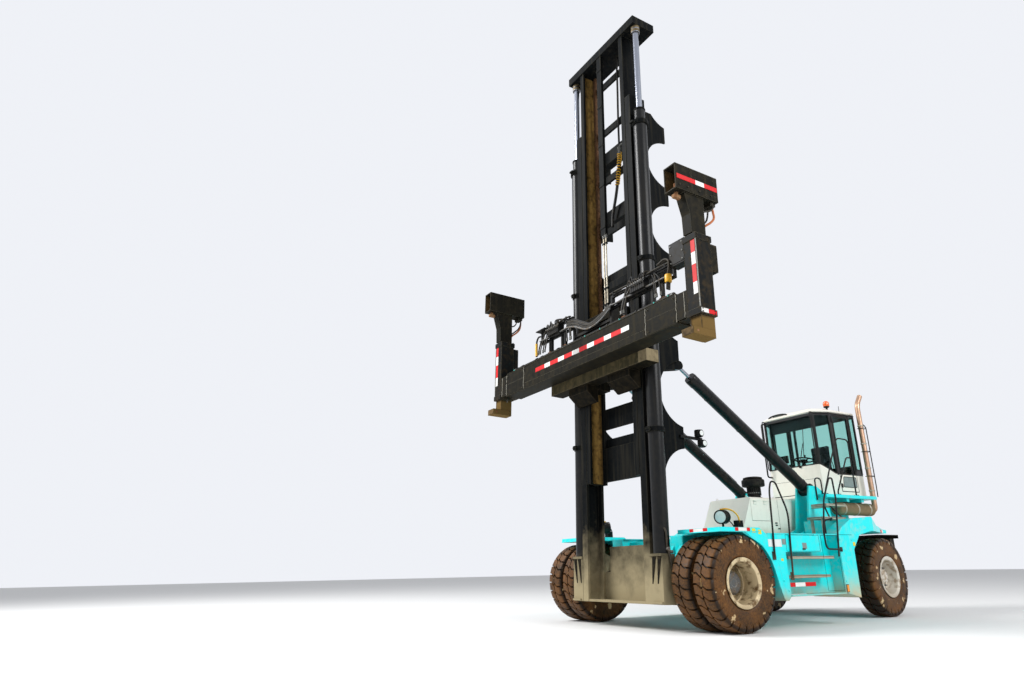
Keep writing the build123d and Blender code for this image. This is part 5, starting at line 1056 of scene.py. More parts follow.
marks += tapeShapes((0.02, 0.2, 0.36), 1, slantTape)
for y, z, width, height, color in ((0.345, 1.425, 0.075, 0.06, "plateYellow"),
                                   (0.475, 1.405, 0.07, 0.065, "plateYellow"), (0.78, 1.245, 0.3, 0.11, "plateWhite"),
                                   (0.985, 1.265, 0.085, 0.085, "plateGrey"), (1.46, 1.205, 0.1, 0.09, "plateGrey"),
                                   (0.9, 1, 0.05, 0.035, "plateYellow"), (2.72, 1.235, 0.06, 0.06, "plateYellow")):
    marks += [(*blocks([(bodyHalf, bodyHalf + 0.0015, y - width / 2, y + width / 2, z - height / 2, z + height / 2)]),
               color)]
marks += [(*blocks([(bodyHalf, 2.062, 2.345, 2.395, 0.5, 0.6)]), "markerOrange"),
          (*blocks([(bodyHalf, 2.055, 2.335, 2.405, 0.49, 0.61)]), "blackPlastic")]
rightSide = [(points * (-1, 1, 1), faces, *own) for points, faces, *own in marks if abs(points[:, 0]).min() > 2.04]
piece("blank_marks", "chassis", "tapeRed", marks + rightSide)

# Panel work on the tank and fenders: door outlines, lips, hinges, latch, bolts
panels = []


def panelFrame(y0, y1, z0, z1):
    # a shut line round a panel: four thin dark strips let into the surface
    gap, x = 0.006, bodyHalf - 0.0005
    return blocks([(x, x + 0.0012, y0, y1, z0, z0 + gap), (x, x + 0.0012, y0, y1, z1 - gap, z1),
                   (x, x + 0.0012, y0, y0 + gap, z0, z1), (x, x + 0.0012, y1 - gap, y1, z0, z1)])


panels += [(*panelFrame(1.03, 1.83, 1.12, 1.37), "shadowBlack"), (*panelFrame(1.88, 2.29, 0.52, 1.37), "shadowBlack"),
           (*blocks([(bodyHalf - 0.0005, bodyHalf + 0.0007, 2.318, 2.324, 0.5, 1.4),
                     (bodyHalf - 0.0005, bodyHalf + 0.0007, 2.33, 2.69, 1.378, 1.384)]), "shadowBlack"),
           blocks([(2.046, 2.058, 0.62, 2.3, 1.376, 1.392), (1.99, 2.06, 1.005, 2.31, 0.466, 0.492)]),
           blocks([(1.155, 2.056, -0.356, -0.346, 1.404, 1.42), (2.044, 2.058, -0.35, 0.47, 1.404, 1.414)])]
for y in (1.12, 1.74):
    panels += [(*rod((2.056, y - 0.03, 1.372), (2.056, y + 0.03, 1.372), 0.008, 8), "turquoise")]
panels += [(*blocks([(bodyHalf, 2.064, 1.4, 1.46, 1.145, 1.165)]), "blackPlastic")]
capNut = revolved([(0, 0), (0, 0.016), (0.006, 0.015), (0.01, 0.01), (0.012, 0)], (bodyHalf, 0, 0), axis=alongX,
                  segments=10)
panels += [(*repeated(capNut,
                      [(0, y, z) for y, z in ((2.36, 0.66), (2.36, 1.3), (2.66, 1.3), (2, 1.3), (0.88, 0.7),
                                              (0.96, 0.55))]), "turquoise")]
# dark rear deck and its flaps over the steered wheels
panels += [(*blocks([(0.625, 1.33, 4.56, 5.18, 1.424, 1.436), (0.625, 0.64, 4.56, 5.18, 1.3, 1.424),
                     (0.64, 1.33, 5.168, 5.18, 1.37, 1.424)]), "axleBlack")]
# lip of the arch behind the drive wheels
archFront = [(0.1, 1.404), (0.45, 1.235), (0.6, 1.085), (0.685, 0.93), (0.755, 0.7), (0.8, 0.55), (0.845, 0.43)]
lip = smoothPath([(bodyHalf, y, z) for y, z in archFront], 5)
panels += [tube(lip, 0.008, 6)]
piece("panel_work", "chassis", "turquoise", both(panels))

# Steps: gratings in pressed frames. They replace the plain treads.
stepTable = [(1.85, bodyHalf, 1, 2, 0.77), (1.85, bodyHalf, 1.04, 2.15, 1.05), (1.5, 1.8, 2.34, 2.98, 1.69),
             (1.2, 1.5, 2.9, 3.48, 1.95)]
treads = []
for x0, x1, y0, y1, top in stepTable:
    treads += [blocks([(x0, x1, y0, y0 + 0.006, top - 0.04, top), (x0, x1, y1 - 0.006, y1, top - 0.04, top),
                       (x0, x0 + 0.006, y0, y1, top - 0.04, top), (x1 - 0.006, x1, y0, y1, top - 0.04, top),
                       (x0, x1, y0, y1, top - 0.014, top - 0.008)])]
    ys = np.arange(y0 + 0.03, y1 - 0.02, 0.042)
    treads += [blocks([(x0 + 0.006, x1 - 0.006, y - 0.0025, y + 0.0025, top - 0.01, top + 0.0005) for y in ys])]
    xs = np.arange(x0 + 0.03, x1 - 0.02, 0.045)
    treads += [blocks([(x - 0.0025, x + 0.0025, y0 + 0.006, y1 - 0.006, top - 0.01, top - 0.001) for x in xs])]
treads += [blocks([(x, x + 0.04, y, y + 0.04, 1.38, 1.655) for x, y in ((1.53, 2.38), (1.74, 2.38), (1.74, 2.9))]),
           blocks([(0.9, 1.21, 3.3, 3.38, 1.912, 1.938)])]
# two outer hanging strips under the long treads
treads += [blocks([(2.044, bodyHalf, 1.005, 1.9, 0.726, 0.732), (2.044, bodyHalf, 1.6, 2.15, 1.006, 1.012)])]
piece("grating_steps", "chassis", "stepSteel", treads, replaces=["access_steps"])
# the frame of tube under the left upper steps
stays = [handrail([(1.83, 2.335, 1.395), (1.83, 2.335, 1.62), (1.83, 2.55, 1.66)], 0.014, 0.05),
         rod((1.52, 2.955, 1.66), (1.36, 3.05, 1.92), 0.014, 10),
         rod((1.77, 2.955, 1.66), (1.47, 3.05, 1.92), 0.014, 10)]
piece("step_stays", "chassis", "railBlack", stays)

# Fender lamps: a ribbed drum, a yellow guard strap and a pale lens
lamp = []
lx, ly, lz = 1.5, 0.3, 1.66
lampAxis = (0.35, -1, -0.05)  # out of the lens
lamp += [revolved([(-0.085, 0), (-0.085, 0.07), (-0.06, 0.098), (0.05, 0.106), (0.078, 0.108), (0.078, 0.094),
                   (0.07, 0.09), (0.07, 0)], (lx, ly, lz), axis=lampAxis, segments=40),
         (*revolved([(0.0705, 0), (0.079, 0), (0.077, 0.05), (0.073, 0.089), (0.0705, 0.0895)], (lx, ly, lz),
                    axis=lampAxis, segments=40), "lensPale")]
for k in range(6):
    lamp += [(*ring(-0.075 + 0.022 * k, -0.068 + 0.022 * k, 0.094, 0.108, (lx, ly, lz), axis=lampAxis, segments=30),
              "blackPlastic")]
lamp += [blocks([(lx - 0.05, lx + 0.05, ly - 0.03, ly + 0.03, deckTop - 0.002, deckTop + 0.01)]),
         rod((lx, ly, 1.475), (lx, ly, 1.575), 0.018, 12)]
strap = smoothPath([(lx - 0.02, ly - 0.02, 1.775), (lx + 0.06, ly + 0.05, 1.78), (lx + 0.13, ly + 0.12, 1.74),
                    (lx + 0.165, ly + 0.17, lz), (lx + 0.17, ly + 0.19, 1.56)], 6)
lamp += [(*tube(strap, 0.013, 8), "guardYellow"),
         (*hose([(lx - 0.04, ly + 0.08, lz), (lx, ly + 0.15, 1.6), (lx + 0.05, ly + 0.17, 1.53),
                 (lx + 0.07, ly + 0.16, 1.478)], 0.009), "rubberHose")]
for k in range(7):
    lamp += [(*blocks([(lx + 0.1, lx + 0.185, ly + 0.13 + 0.018 * k, ly + 0.139 + 0.018 * k, 1.472, 1.6)]),
              "blackPlastic")]
piece("fender_lamps", "chassis", "blackPlastic", both(lamp), replaces=["work_lamps"])

# Hood: panel lines, latches and lifting eyes; the dark lines on its top are partly painted shade
lines = []
edge = hood["half"] - 0.028
lines += [(*blocks([(edge - 0.9, edge, hood["front"] + hood["slope"] + 0.33, hood["front"] + hood["slope"] + 0.336,
                     hood["top"] - 0.0003, hood["top"] + 0.0008)]), "shadowBlack")]
for y in (2.86, 3.42):
    lines += [(*blocks([(hood["half"] - 0.0003, hood["half"] + 0.0008, y, y + 0.005, 1.5, 2.095)]), "shadowBlack"),
              (*blocks([(-0.47, 0.47, y, y + 0.005, hood["top"] - 0.0003, hood["top"] + 0.0008)]), "shadowBlack")]
for y, z in ((2.74, 1.62), (2.8, 1.56), (2.735, 1.66)):
    lines += [(*blocks([(hood["half"], hood["half"] + 0.012, y, y + 0.055, z, z + 0.018)]), "blackPlastic")]
for y in (2.2, 2.95, 3.55):
    lines += [(*hose([(hood["half"] - 0.16, y, hood["top"] - 0.002), (hood["half"] - 0.155, y, hood["top"] + 0.028),
                      (hood["half"] - 0.125, y, hood["top"] + 0.03), (hood["half"] - 0.12, y, hood["top"] - 0.002)],
                     0.006, 6, 5), "warmWhite")]
piece("hood_lines", "chassis", "warmWhite", both(lines))

# Air pre-cleaner: a dark mushroom with louvres, and its bowl
cleaner = []
cx, cy, cz = 0.3, 2.5, hood["top"]
cleaner += [revolved([(0, 0), (0, 0.135), (0.012, 0.14), (0.012, 0.118), (0.045, 0.112), (0.19, 0.112), (0.205, 0.12),
                      (0.215, 0.185), (0.222, 0.205), (0.232, 0.209), (0.33, 0.209), (0.345, 0.198), (0.352, 0.15),
                      (0.36, 0.178), (0.385, 0.172), (0.398, 0.12), (0.4, 0)], (cx, cy, cz), segments=56)]
fin = blocks([(cx + 0.11, cx + 0.128, cy - 0.004, cy + 0.004, cz + 0.05, cz + 0.205)])
cleaner += around(fin, 20, (cx, cy, 0), "Z")
louvre = blocks([(cx + 0.203, cx + 0.2095, cy - 0.012, cy + 0.012, cz + 0.24, cz + 0.322)])
cleaner += around(louvre, 28, (cx, cy, 0), "Z")
cleaner += [(*ring(0.085, 0.105, 0.1125, 0.119, (cx, cy, cz), segments=40), "zincPlate")]
piece("cleaner_bowl", "chassis", "blackPlastic", cleaner, replaces=["air_precleaner"], sharp=35)

# Exhaust: a smooth bent stack, clamps, guard rails; a long muffler under the platform
stackX, stackY, mufflerZ = 0.95, 5.2, 1.93
pipe = bentPath([(stackX, 5.02, mufflerZ), (stackX, stackY, mufflerZ), (stackX, stackY, 4.08),
                 (stackX, stackY + 0.15, 4.28)], 0.11, 8)
stack = [tube(pipe, 0.05, 24), (*tube([(stackX, stackY + 0.135, 4.262), (stackX, stackY + 0.15, 4.2803)], 0.0505, 24),
                                "copperSteel")]
for z in (2.3, 2.75, 3.25, 3.62):
    stack += [(*ring(z, z + 0.025, 0.05, 0.058, (stackX, stackY, 0), segments=24), "wornSteel"),
              (*blocks([(stackX - 0.012, stackX + 0.012, stackY - 0.075, stackY - 0.052, z, z + 0.025)]),
               "wornSteel")]
muffler = revolved([(3.95, 0), (3.95, 0.085), (3.975, 0.116), (3.99, 0.12), (5.01, 0.12), (5.035, 0.116),
                    (5.06, 0.085), (5.06, 0)], (stackX, 0, mufflerZ), axis=alongY, segments=48)
stack += [(*muffler, "mufflerTan")]
for y in (4.1, 4.5, 4.88):
    stack += [(*ring(y, y + 0.035, 0.119, 0.124, (stackX, 0, mufflerZ), axis=alongY, segments=40), "wornSteel")]
stack += [(*blocks([(stackX - 0.04, stackX + 0.04, y + 0.01, y + 0.07, mufflerZ + 0.1, 2.06) for y in (4.2, 4.66)]),
           "railBlack"), (*blocks([(0.7, stackX, 5.14, 5.152, 2.16, 2.2)]), "railBlack")]
for x, y in ((stackX + 0.075, stackY + 0.055), (stackX - 0.02, stackY + 0.095)):
    stack += [(*tube(bentPath([(x, y - 0.01, 2.185), (x, y, 2.4), (x, y, 3.6), (x - 0.03, y - 0.03, 3.66)], 0.04),
                     0.01, 8), "railBlack")]
for z in (2.6, 3.1, 3.58):
    hoop = [(stackX + 0.085 * math.cos(a), stackY + 0.02 + 0.085 * math.sin(a), z)
            for a in np.linspace(-2.2, 2.6, 24)]
    stack += [(*tube(hoop, 0.007, 6), "railBlack")]
piece("stack_and_muffler", "chassis", "copperSteel", stack, replaces=["exhaust"], sharp=40)
print("body done")

# Cab: black window frames, white roof cap, seals, wipers, doors, seat and controls
cab = {"half": 0.75, "frontHalf": 0.61, "front": 4.15, "facetRear": 4.5, "rear": 5.3, "sill": 2.85, "sideSill": 2.64,
       "rearSill": 2.75, "head": 3.84, "pillar": 0.026, "doorFront": 4.552, "doorRear": 5.078, "sealRadius": 0.011}


def cabMaterial(s):
    # white below the sills and on the roof, black between them and on the inner faces
    mat = finish("warmWhite").copy()
    mat.name = "cabTwoTone"
    tree = mat.node_tree
    shader = tree.nodes["Principled BSDF"]
    place = put(tree, "SeparateXYZ", {0: put(tree, "TexCoord").outputs["Object"]}).outputs
    line = remap(tree, place["Y"], s["front"] + axleY, s["facetRear"] + axleY, s["sill"] - 0.012,
                 s["sideSill"] - 0.012)
    above = calc(tree, "GREATER_THAN", place["Z"], line)
    inside = remap(tree, place["Y"], s["front"] + axleY, s["facetRear"] + axleY, 0.555, 0.704)
    inner = times(tree, calc(tree, "LESS_THAN", calc(tree, "ABSOLUTE", place["X"]), inside),
                  times(tree, calc(tree, "GREATER_THAN", place["Y"], s["front"] + axleY + 0.045),
                        calc(tree, "LESS_THAN", place["Y"], s["rear"] + axleY - 0.045)))
    dark = times(tree, calc(tree, "MAXIMUM", above, inner), calc(tree, "LESS_THAN", place["Z"], 3.895))
    clean = shader.inputs["Base Color"].links[0].from_socket
    tree.links.new(blendColor(tree, dark, clean, (0.014, 0.015, 0.016, 1)), shader.inputs["Base Color"])
    ready["cabTwoTone"] = mat
    return mat


paint("cab_shell", cabMaterial(cab))
s = cab
middle = np.array((0, (s["front"] + s["rear"]) / 2, 0))
plan = [(-s["frontHalf"], s["front"], 0), (s["frontHalf"], s["front"], 0), (s["half"], s["facetRear"], 0),
        (s["half"], s["rear"], 0), (-s["half"], s["rear"], 0), (-s["half"], s["facetRear"], 0)]


def loop(corners, bend, perBend):
    # a closed line through the corners with a quadratic arc at each
    return bentPath([corners[-1], *corners, corners[0]], bend, perBend)[1:-1]


# roof cap: the plan's outline scaled about the cab's middle, one ring for each height
roofRings = np.array([(1, 3.897), (1.032, 3.906), (1.04, 3.922), (1.022, 3.94), (0.97, 3.955), (0.88, 3.985),
                      (0.77, 4.016), (0.55, 4.03), (0.3, 4.036), (0.02, 4.037)])
outline = loop(plan, 0.07, 6)
scale, height = roofRings[:, 0, None, None], roofRings[:, 1, None, None]
rings = middle + (outline - middle)[None] * scale * (1, 1, 0) + height * (0, 0, 1)
roof = [surface(rings, capped=True),
        (*hose([(-0.52, 4.2, 3.93), (-0.46, 4.185, 3.985), (-0.26, 4.175, 4.005), (-0.06, 4.185, 3.985),
                (0, 4.2, 3.93)], 0.016, 10), "blackPlastic"),
        (*blocks([(-0.4, -0.12, 4.2, 4.3, 3.945, 3.995)]), "plateGrey"),
        (*rod((0.64, 5.02, 3.93), (0.64, 5.03, 4.1), 0.006, 8), "blackPlastic")]
piece("cab_roof_cap", "chassis", "warmWhite", roof, bevel=0.004, sharp=40)

# seals round the windows, top band, corner posts, wipers and grab tubes
trim = []
pl, seal = s["pillar"], s["sealRadius"]


def seam(corners, radius=seal):
    return tube(loop(corners, 0.035, 5), radius, 8, closed=True)


frontFace = s["front"] - 0.002
trim += [seam([(-s["frontHalf"] + pl, frontFace, s["sill"]), (s["frontHalf"] - pl, frontFace, s["sill"]),
               (s["frontHalf"] - pl, frontFace, s["head"]), (-s["frontHalf"] + pl, frontFace, s["head"])])]
rearFace = s["rear"] + 0.002
trim += [seam([(-s["half"] + pl, rearFace, s["rearSill"]), (s["half"] - pl, rearFace, s["rearSill"]),
               (s["half"] - pl, rearFace, s["head"]), (-s["half"] + pl, rearFace, s["head"])])]
along = np.array((s["half"] - s["frontHalf"], s["facetRear"] - s["front"], 0))
facetLength = np.linalg.norm(along)
along = along / facetLength


def onFacet(u, z, out=0.002):
    # a point u along the left facet from the front corner, out of its face
    return tuple(np.array((s["frontHalf"], s["front"], z)) + along * u + np.array((along[1], -along[0], 0)) * out)


twoSides = [seam([onFacet(pl, s["sill"]), onFacet(facetLength - pl, s["sideSill"]),
                  onFacet(facetLength - pl, s["head"]), onFacet(pl, s["head"])])]
sideFace = s["half"] + 0.002
quarter = s["doorRear"] + 0.044
twoSides += [seam([(sideFace, quarter, s["rearSill"]), (sideFace, s["rear"] - pl, s["rearSill"]),
                   (sideFace, s["rear"] - pl, s["head"]), (sideFace, quarter, s["head"])], 0.009)]
for u0, u1, lean in ((-0.004, 0.02, 1), (facetLength - 0.02, facetLength + 0.004, 0)):
    low = s["sill"] if lean else s["sideSill"]
    corner = np.array([onFacet(u0, 0, 0), onFacet(u1, 0, 0), onFacet(u1, 0, 0.007), onFacet(u0, 0, 0.007)])[:, :2]
    twoSides += [prism(corner, low - 0.02, 3.9, "xy")]
twoSides += [(*prism([onFacet(0.02, 0, 0)[:2], onFacet(facetLength - 0.02, 0, 0)[:2],
                      onFacet(facetLength - 0.02, 0, 0.005)[:2], onFacet(0.02, 0, 0.005)[:2]], 3.858, 3.896, "xy"),
              "blackPlastic"), handrail([(0.6, s["front"], 3.9), (0.604, 4.085, 3.905), (0.59, 4.085, 2.86),
                                         (0.586, s["front"], 2.85)], 0.011, 0.05, 10)]
# drip rail over the door and rear pillar strips, then rivets and wipers on the front
twoSides += [blocks([(0.75, 0.772, 4.5, 5.29, 3.874, 3.886), (0.75, 0.758, 5.268, 5.3, 2.66, 3.9),
                     (0.75, 0.757, 5.09, 5.112, 2.66, 3.87)])]
rivet = revolved([(0, 0), (0, 0.008), (0.004, 0.006), (0.006, 0)], (0, s["front"], 0), axis=(0, -1, 0), segments=8)
trim += [(*repeated(rivet, [(x, 0, z) for x in (-0.56, -0.3, 0, 0.3, 0.56) for z in (2.31, 2.79)]), "warmWhite"),
         (*blocks([(-0.58, 0.58, 4.1495, 4.1508, 2.56, 2.565), (-0.58, 0.58, 4.1485, s["front"], 2.27, 2.284)]),
          "shadowBlack")]
for x0, x1 in ((-0.3, -0.52), (0.16, 0.42)):
    trim += [tube([(x0, 4.135, 2.835), (x0 + (x1 - x0) * 0.12, 4.11, 2.9), (x0 + (x1 - x0) * 0.5, 4.112, 3.2),
                   (x0 + (x1 - x0) * 0.62, 4.12, 3.3)], 0.008, 8),
             tube([(x0 + (x1 - x0) * 0.5, 4.128, 3.02), (x0 + (x1 - x0) * 0.8, 4.128, 3.66)], 0.007, 6),
             revolved([(0, 0), (0, 0.026), (0.03, 0.024), (0.034, 0)], (x0, s["front"], 2.835), axis=(0, -1, 0),
                      segments=16)]
piece("cab_frames", "chassis", "railBlack", trim + both(twoSides), sharp=38)

# inner lining, floor mat, headliner, sun blind, display, levers and pedals
lining = [(*prism([(-0.57, 4.205), (0.57, 4.205), (0.695, 4.51), (0.695, 5.245), (-0.695, 5.245), (-0.695, 4.51)],
                  3.858, 3.878, "xy"), "seatCloth"),
          (*prism([(-0.56, 4.215), (0.56, 4.215), (0.69, 4.515), (0.69, 5.24), (-0.69, 5.24), (-0.69, 4.515)], 2.281,
                  2.29, "xy"), "rubberHose"),
          (*blocks([(-0.5, 0.5, 4.215, 4.225, 3.6, 3.858), (-0.66, 0.66, 5.225, 5.243, 2.29, 2.86),
                    (-0.56, 0.56, 4.206, 4.3, 2.3, 2.82)]), "seatCloth"),
          blocks([(-0.48, -0.26, 4.33, 4.36, 2.98, 3.14), (0.3, 0.56, 4.8, 5.1, 2.62, 2.8),
                  (-0.6, -0.4, 4.6, 5.12, 2.3, 2.78), (-0.1, 0.1, 4.26, 4.28, 2.36, 2.44),
                  (0.16, 0.24, 4.28, 4.3, 2.36, 2.46)]),
          (*blocks([(-0.47, -0.27, 4.3585, 4.3605, 2.99, 3.13)]), "plateGrey"),
          hose([(-0.37, 4.3, 2.82), (-0.37, 4.3, 2.92), (-0.37, 4.34, 3)], 0.014, 8, 5)]
for x, y, z in ((0.42, 4.86, 2.8), (0.48, 4.95, 2.8), (-0.48, 4.72, 2.78)):
    lining += [hose([(x, y, z), (x + 0.005, y - 0.02, z + 0.09), (x, y - 0.05, z + 0.17)], 0.008, 8, 5),
               revolved([(-0.03, 0), (-0.028, 0.014), (0, 0.022), (0.024, 0.018), (0.032, 0)],
                        (x, y - 0.055, z + 0.19), axis=(0, -0.3, 1), segments=16)]
lining += [(*hose([(-0.62, 5.18, 3.78), (-0.6, 5.1, 3.6), (-0.64, 5.16, 3.3), (-0.63, 5.19, 3)], 0.012),
            "rubberHose")]
piece("cab_interior", "chassis", "blackPlastic", lining, bevel=0.004)

# steering wheel and column: replaces the CAD's plain ones
wheelCenter, wheelAxis = np.array((0, 4.508, 3.02)), np.array((0, 0.17, 1))
wheelAxis = wheelAxis / np.linalg.norm(wheelAxis)
ahead = np.cross((1, 0, 0), wheelAxis)
turns = np.linspace(0, 2 * np.pi, 56, endpoint=False)
rim = wheelCenter + 0.18 * (np.cos(turns)[:, None] * (1, 0, 0) + np.sin(turns)[:, None] * ahead)
steer = [tube(rim, 0.0145, 12, closed=True)]
for angle in (0.35, math.pi - 0.35, -math.pi / 2):
    end = wheelCenter + 0.172 * (math.cos(angle) * np.array((1, 0, 0)) + math.sin(angle) * ahead)
    steer += [tube([wheelCenter - wheelAxis * 0.018, (wheelCenter + end) / 2 - wheelAxis * 0.012, end],
                   [0.02, 0.014, 0.011], 10)]
steer += [revolved([(-0.055, 0), (-0.055, 0.066), (-0.015, 0.072), (0.004, 0.06), (0.008, 0)], wheelCenter,
                   axis=wheelAxis, segments=32),
          revolved([(0.008, 0), (0.008, 0.012), (0.05, 0.02), (0.066, 0.014), (0.068, 0)],
                   wheelCenter + 0.155 * np.array((0.7, 0, 0)) + 0.11 * ahead, axis=wheelAxis, segments=14),
          tube([(0, 4.39, 2.39), (0, 4.43, 2.64), (0, 4.492, 2.965)], [0.062, 0.05, 0.04], 16),
          blocks([(-0.42, 0.42, 4.33, 4.45, 2.34, 2.42), (-0.11, 0.11, 4.425, 4.505, 2.82, 2.9)])]
piece("wheel_and_column", "chassis", "blackPlastic", steer, bevel=0.006, segments=2,
      replaces=["steering_console"], sharp=40)


def puffed(low, high, cap):
    # a rounded box filled like a cushion: remeshed, blown up by cloth pressure, each point's travel capped
    points, faces = blocks([(low[0], high[0], low[1], high[1], low[2], high[2])])
    mesh = bpy.data.meshes.new("padStart")
    mesh.from_pydata(points.tolist(), [], faces)
    pad = bpy.data.objects.new("padStart", mesh)
    scene.collection.objects.link(pad)
    soft = pad.modifiers.new("round", "BEVEL")
    soft.width, soft.segments = 0.04, 4
    pad.modifiers.new("even", "REMESH").voxel_size = 0.012
    fine = bpy.data.meshes.new_from_object(pad.evaluated_get(bpy.context.evaluated_depsgraph_get()))
    pad.modifiers.clear()
    pad.data = fine
    rest = np.empty(len(fine.vertices) * 3)
    fine.vertices.foreach_get("co", rest)
    blown = rest.copy()
    cloth = pad.modifiers.new("fill", "CLOTH")
    cloth.settings.use_pressure = True
    cloth.settings.uniform_pressure_force = 4.0
    cloth.settings.effector_weights.gravity = 0.0
    for step in range(1, 21):
        scene.frame_set(step)
    pad.evaluated_get(bpy.context.evaluated_depsgraph_get()).data.vertices.foreach_get("co", blown)
    pad.modifiers.clear()
    scene.frame_set(1)
    rest, move = rest.reshape(-1, 3), (blown - rest).reshape(-1, 3)
    travel = np.linalg.norm(move, axis=1)[:, None]
    quads = [list(face.vertices) for face in fine.polygons]
    bpy.data.objects.remove(pad)
    return rest + move * np.minimum(1.0, cap / np.maximum(travel, 1e-6)), quads


def sewn(points, axis, sign, level, lines, across):
    # presses channels into one face: the depth falls off as exp(-(d / width)^2) beside each line
    depth, width = 0.014, 0.012
    faceShare = np.clip((sign * (points[:, axis] - level)) / 0.03, 0, 1)
    dent = sum(np.exp(-((points[:, across] - line) / width) ** 2) for line in lines)
    points[:, axis] -= sign * depth * faceShare * np.minimum(dent, 1.0)
    return points


basePoints, baseFaces = puffed((-0.235, 4.665, 2.625), (0.235, 5.02, 2.735), 0.022)
basePoints = sewn(basePoints, 2, 1, 2.7, (-0.13, 0.13), 0)
backPoints, backFaces = puffed((-0.225, 5.04, 2.76), (0.225, 5.13, 3.35), 0.02)
backPoints = sewn(sewn(backPoints, 1, -1, 5.08, (-0.13, 0.13), 0), 1, -1, 5.08, (2.98, 3.16), 2)
for name, shape in (("seat_cushion", (basePoints, baseFaces)), ("seat_backrest", (backPoints, backFaces))):
    pad = piece(name, "chassis", "seatCloth", [shape], sharp=180, replaces=["operator_seat"])
    divide = pad.modifiers.new("soften", "SUBSURF")
    divide.levels = divide.render_levels = 1
base = [blocks([(-0.2, 0.2, 4.75, 5.05, 2.284, 2.34), (-0.23, 0.23, 4.68, 5.08, 2.575, 2.622)]),
        blocks([(sign * 0.3 - 0.035, sign * 0.3 + 0.035, 4.72, 5.07, 2.665, 2.715) for sign in (1, -1)])]
for k in range(5):
    base += [prism(loop([(-0.185 + 0.01 * (k % 2), 4.765, 0), (0.185 - 0.01 * (k % 2), 4.765, 0), (0.185, 5.035, 0),
                         (-0.185, 5.035, 0)], 0.03, 3)[:, :2], 2.342 + 0.046 * k, 2.384 + 0.046 * k, "xy")]
base += [hose([(sign * 0.3, 5.06, 2.69), (sign * 0.29, 5.1, 2.7), (sign * 0.23, 5.12, 2.72)], 0.018, 8, 5)
         for sign in (1, -1)]
base += [hose([(0.23, 4.88, 2.64), (0.3, 4.9, 2.66), (0.3, 4.9, 2.68)], 0.012, 8, 4)]
piece("seat_frame", "chassis", "blackPlastic", base, bevel=0.008, segments=2)

# doors: white lower panel with a smoked pane, seals, a handle and a lock plate; each rides on its door
door = []
front, rear, doorX = s["doorFront"], s["doorRear"], 0.752
door += [(*blocks([(0.7495, 0.7535, front + 0.006, rear - 0.006, 2.304, 2.628)]), "warmWhite")]
smoked = [(front + 0.05, 2.385), (rear - 0.04, 2.385), (rear - 0.04, 2.59), (front + 0.09, 2.59)]
door += [(*prism(smoked, 0.7535, 0.7555, "yz"), "plateGrey"), seam([(0.755, y, z) for y, z in smoked], 0.006),
         seam([(doorX, front + 0.036, 2.642), (doorX, rear - 0.036, 2.642), (doorX, rear - 0.036, 3.818),
               (doorX, front + 0.036, 3.818)], 0.009),
         tube(bentPath([(doorX, rear - 0.02, 2.7), (0.778, rear - 0.02, 2.72), (0.778, rear - 0.02, 2.9),
                        (doorX, rear - 0.02, 2.92)], 0.015, 4), 0.008, 8),
         blocks([(doorX, 0.764, rear - 0.032, rear - 0.004, 2.655, 2.7)]),
         (*blocks([(0.698, 0.7045, front + 0.02, rear - 0.02, 2.31, 2.63)]), "seatCloth")]
for side, word in sides:
    piece(f"door_trim_{word}", f"door_{word}", "railBlack", onSide(door, side), sharp=40)

# beacon: a ribbed orange dome on a black foot and stalk
bx, by, bz = 0.54, 4.77, 4.06
light = [revolved([(-0.13, 0), (-0.13, 0.024), (0, 0.02), (0.002, 0.04), (0.012, 0.058), (0.033, 0.058),
                   (0.036, 0.05), (0.036, 0)], (bx, by, bz), segments=32)]
dome = [(0.034, 0), (0.034, 0.058), (0.045, 0.0615), (0.095, 0.06), (0.12, 0.054), (0.138, 0.04), (0.147, 0.02),
        (0.149, 0)]
light += [(*revolved(dome, (bx, by, bz), segments=36), "beaconOrange")]
rib = hose([(bx + 0.0612, by, bz + 0.045), (bx + 0.06, by, bz + 0.095), (bx + 0.052, by, bz + 0.122)], 0.0022, 5, 4)
light += [(*shape, "beaconOrange") for shape in around(rib, 18, (bx, by, 0), "Z")]
piece("roof_beacon", "chassis", "blackPlastic", light, replaces=["beacon"], sharp=40)

# mast lamps: ribbed drums on their bars, with pale lenses
lampX = 0.938
lamp = [blocks([(0.878, 0.918, 0.06, 0.56, 3.022, 3.068)])]
for y, z0, z1 in ((0.46, 3.07, 3.19), (0.52, 2.9, 3.02)):
    lamp += [revolved([(z0, 0), (z0, 0.052), (z0 + 0.012, 0.072), (z1 - 0.02, 0.0745), (z1, 0.07), (z1, 0)],
                      (lampX, y, 0), segments=28)]
    for k in range(4):
        z = z0 + 0.022 + 0.02 * k
        lamp += [ring(z, z + 0.007, 0.07, 0.0748, (lampX, y, 0), segments=28)]
    face = revolved([(0, 0), (0, 0.045), (0.012, 0.045), (0.014, 0)], (lampX + 0.062, y, (z0 + z1) / 2), axis=alongX,
                    segments=24)
    lamp += [(*face, "lensPale"), revolved([(-0.01, 0), (-0.01, 0.054), (0.01, 0.054), (0.012, 0.046), (0.012, 0)],
                                           (lampX + 0.062, y, (z0 + z1) / 2), axis=alongX, segments=24)]
piece("round_lamps", "outer_mast", "blackPlastic", both(lamp), mast=True, replaces=["mast_lamps"],
      sharp=40)
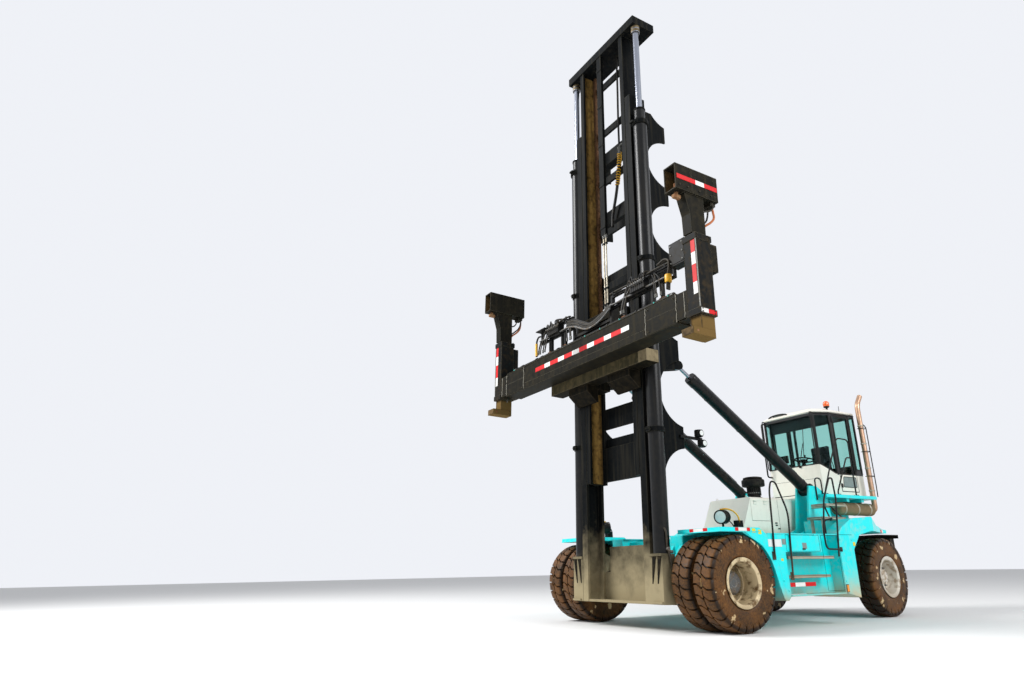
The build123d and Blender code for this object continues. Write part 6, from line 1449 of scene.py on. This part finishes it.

# tilt cylinders: gland, collars and a hard line along each barrel
foot = np.array((0.75, 3.43, 2.28))
head = onMast((np.array([(0.75, 0.24, 4.37)]), []))[0][0]
reach = np.linalg.norm(head - foot)
line = (head - foot) / reach
lift = np.cross((1, 0, 0), line)
lift = lift * np.sign(lift[2])
cylinder = [revolved([(reach - 0.5, 0.104), (reach - 0.5, 0.112), (reach - 0.36, 0.112), (reach - 0.345, 0.106),
                      (reach - 0.345, 0.104)], foot, axis=line, segments=40, ring=True),
            ring(0.16, 0.21, 0.104, 0.111, foot, axis=line, segments=40)]
hardLine = [foot + line * d + lift * h for d, h in ((0.3, 0.1), (0.33, 0.135), (0.6, 0.135), (1.5, 0.135),
    (2.7, 0.135), (reach - 0.52, 0.135), (reach - 0.47, 0.1))]
cylinder += [(*tube(bentPath(hardLine, 0.05), 0.009, 8), "rubberHose")]
for d in (0.9, 1.9, 2.8):
    cylinder += [ring(d, d + 0.03, 0.1045, 0.109, foot, axis=line, segments=36)]
for side, word in sides:
    piece(f"tilt_details_{word}", f"tilt_barrel_{word}", "barrelBlack", onSide(cylinder, side),
          sharp=40)
print("cab done")

# Studio: a pale floor that runs into a pale sky, and large soft lamps
studio = {"floorSize": 160.0, "floorColor": (0.8, 0.8, 0.79), "skyFill": 0.55, "keyEnergy": 5200.0,
          "sideEnergy": 2600.0}


def addStudio(s):
    floorData = bpy.data.meshes.new("floor")
    half = s["floorSize"] / 2
    corners = np.array([(-1, -1, 0), (1, -1, 0), (1, 1, 0), (-1, 1, 0)], float) * half + (0, 0, -0.002)
    floorData.from_pydata(corners.tolist(), [], [(0, 1, 2, 3)])
    floor = bpy.data.objects.new("floor", floorData)
    scene.collection.objects.link(floor)
    mat, tree, shader = newMaterial("floorPale")
    shader.inputs["Base Color"].default_value = (*s["floorColor"], 1)
    shader.inputs["Roughness"].default_value = 0.9
    floorData.materials.append(mat)
    world = bpy.data.worlds.new("studio")
    scene.world = world
    world.use_nodes = True
    tree = world.node_tree
    back = tree.nodes["Background"]
    path = put(tree, "LightPath").outputs
    seen = calc(tree, "MAXIMUM", path["Is Camera Ray"],
                calc(tree, "MAXIMUM", path["Is Glossy Ray"], path["Is Transmission Ray"]))
    tree.links.new(remap(tree, seen, 0.0, 1.0, s["skyFill"], 0.93), back.inputs["Strength"])
    back.inputs["Color"].default_value = (0.93, 0.95, 1.0, 1)
    for name, place, size, energy in (("key", (-9, -16, 17), 9.0, s["keyEnergy"]),
                                      ("side", (18, 2, 13), 10.0, s["sideEnergy"])):
        data = bpy.data.lights.new(name, "AREA")
        data.size = size
        data.energy = energy
        lamp = bpy.data.objects.new(name, data)
        lamp.location = place
        lamp.rotation_euler = (Vector((0, 0, 3)) - Vector(place)).to_track_quat("-Z", "Y").to_euler()
        scene.collection.objects.link(lamp)
    scene.view_settings.view_transform = "Standard"


addStudio(studio)
print("studio done")
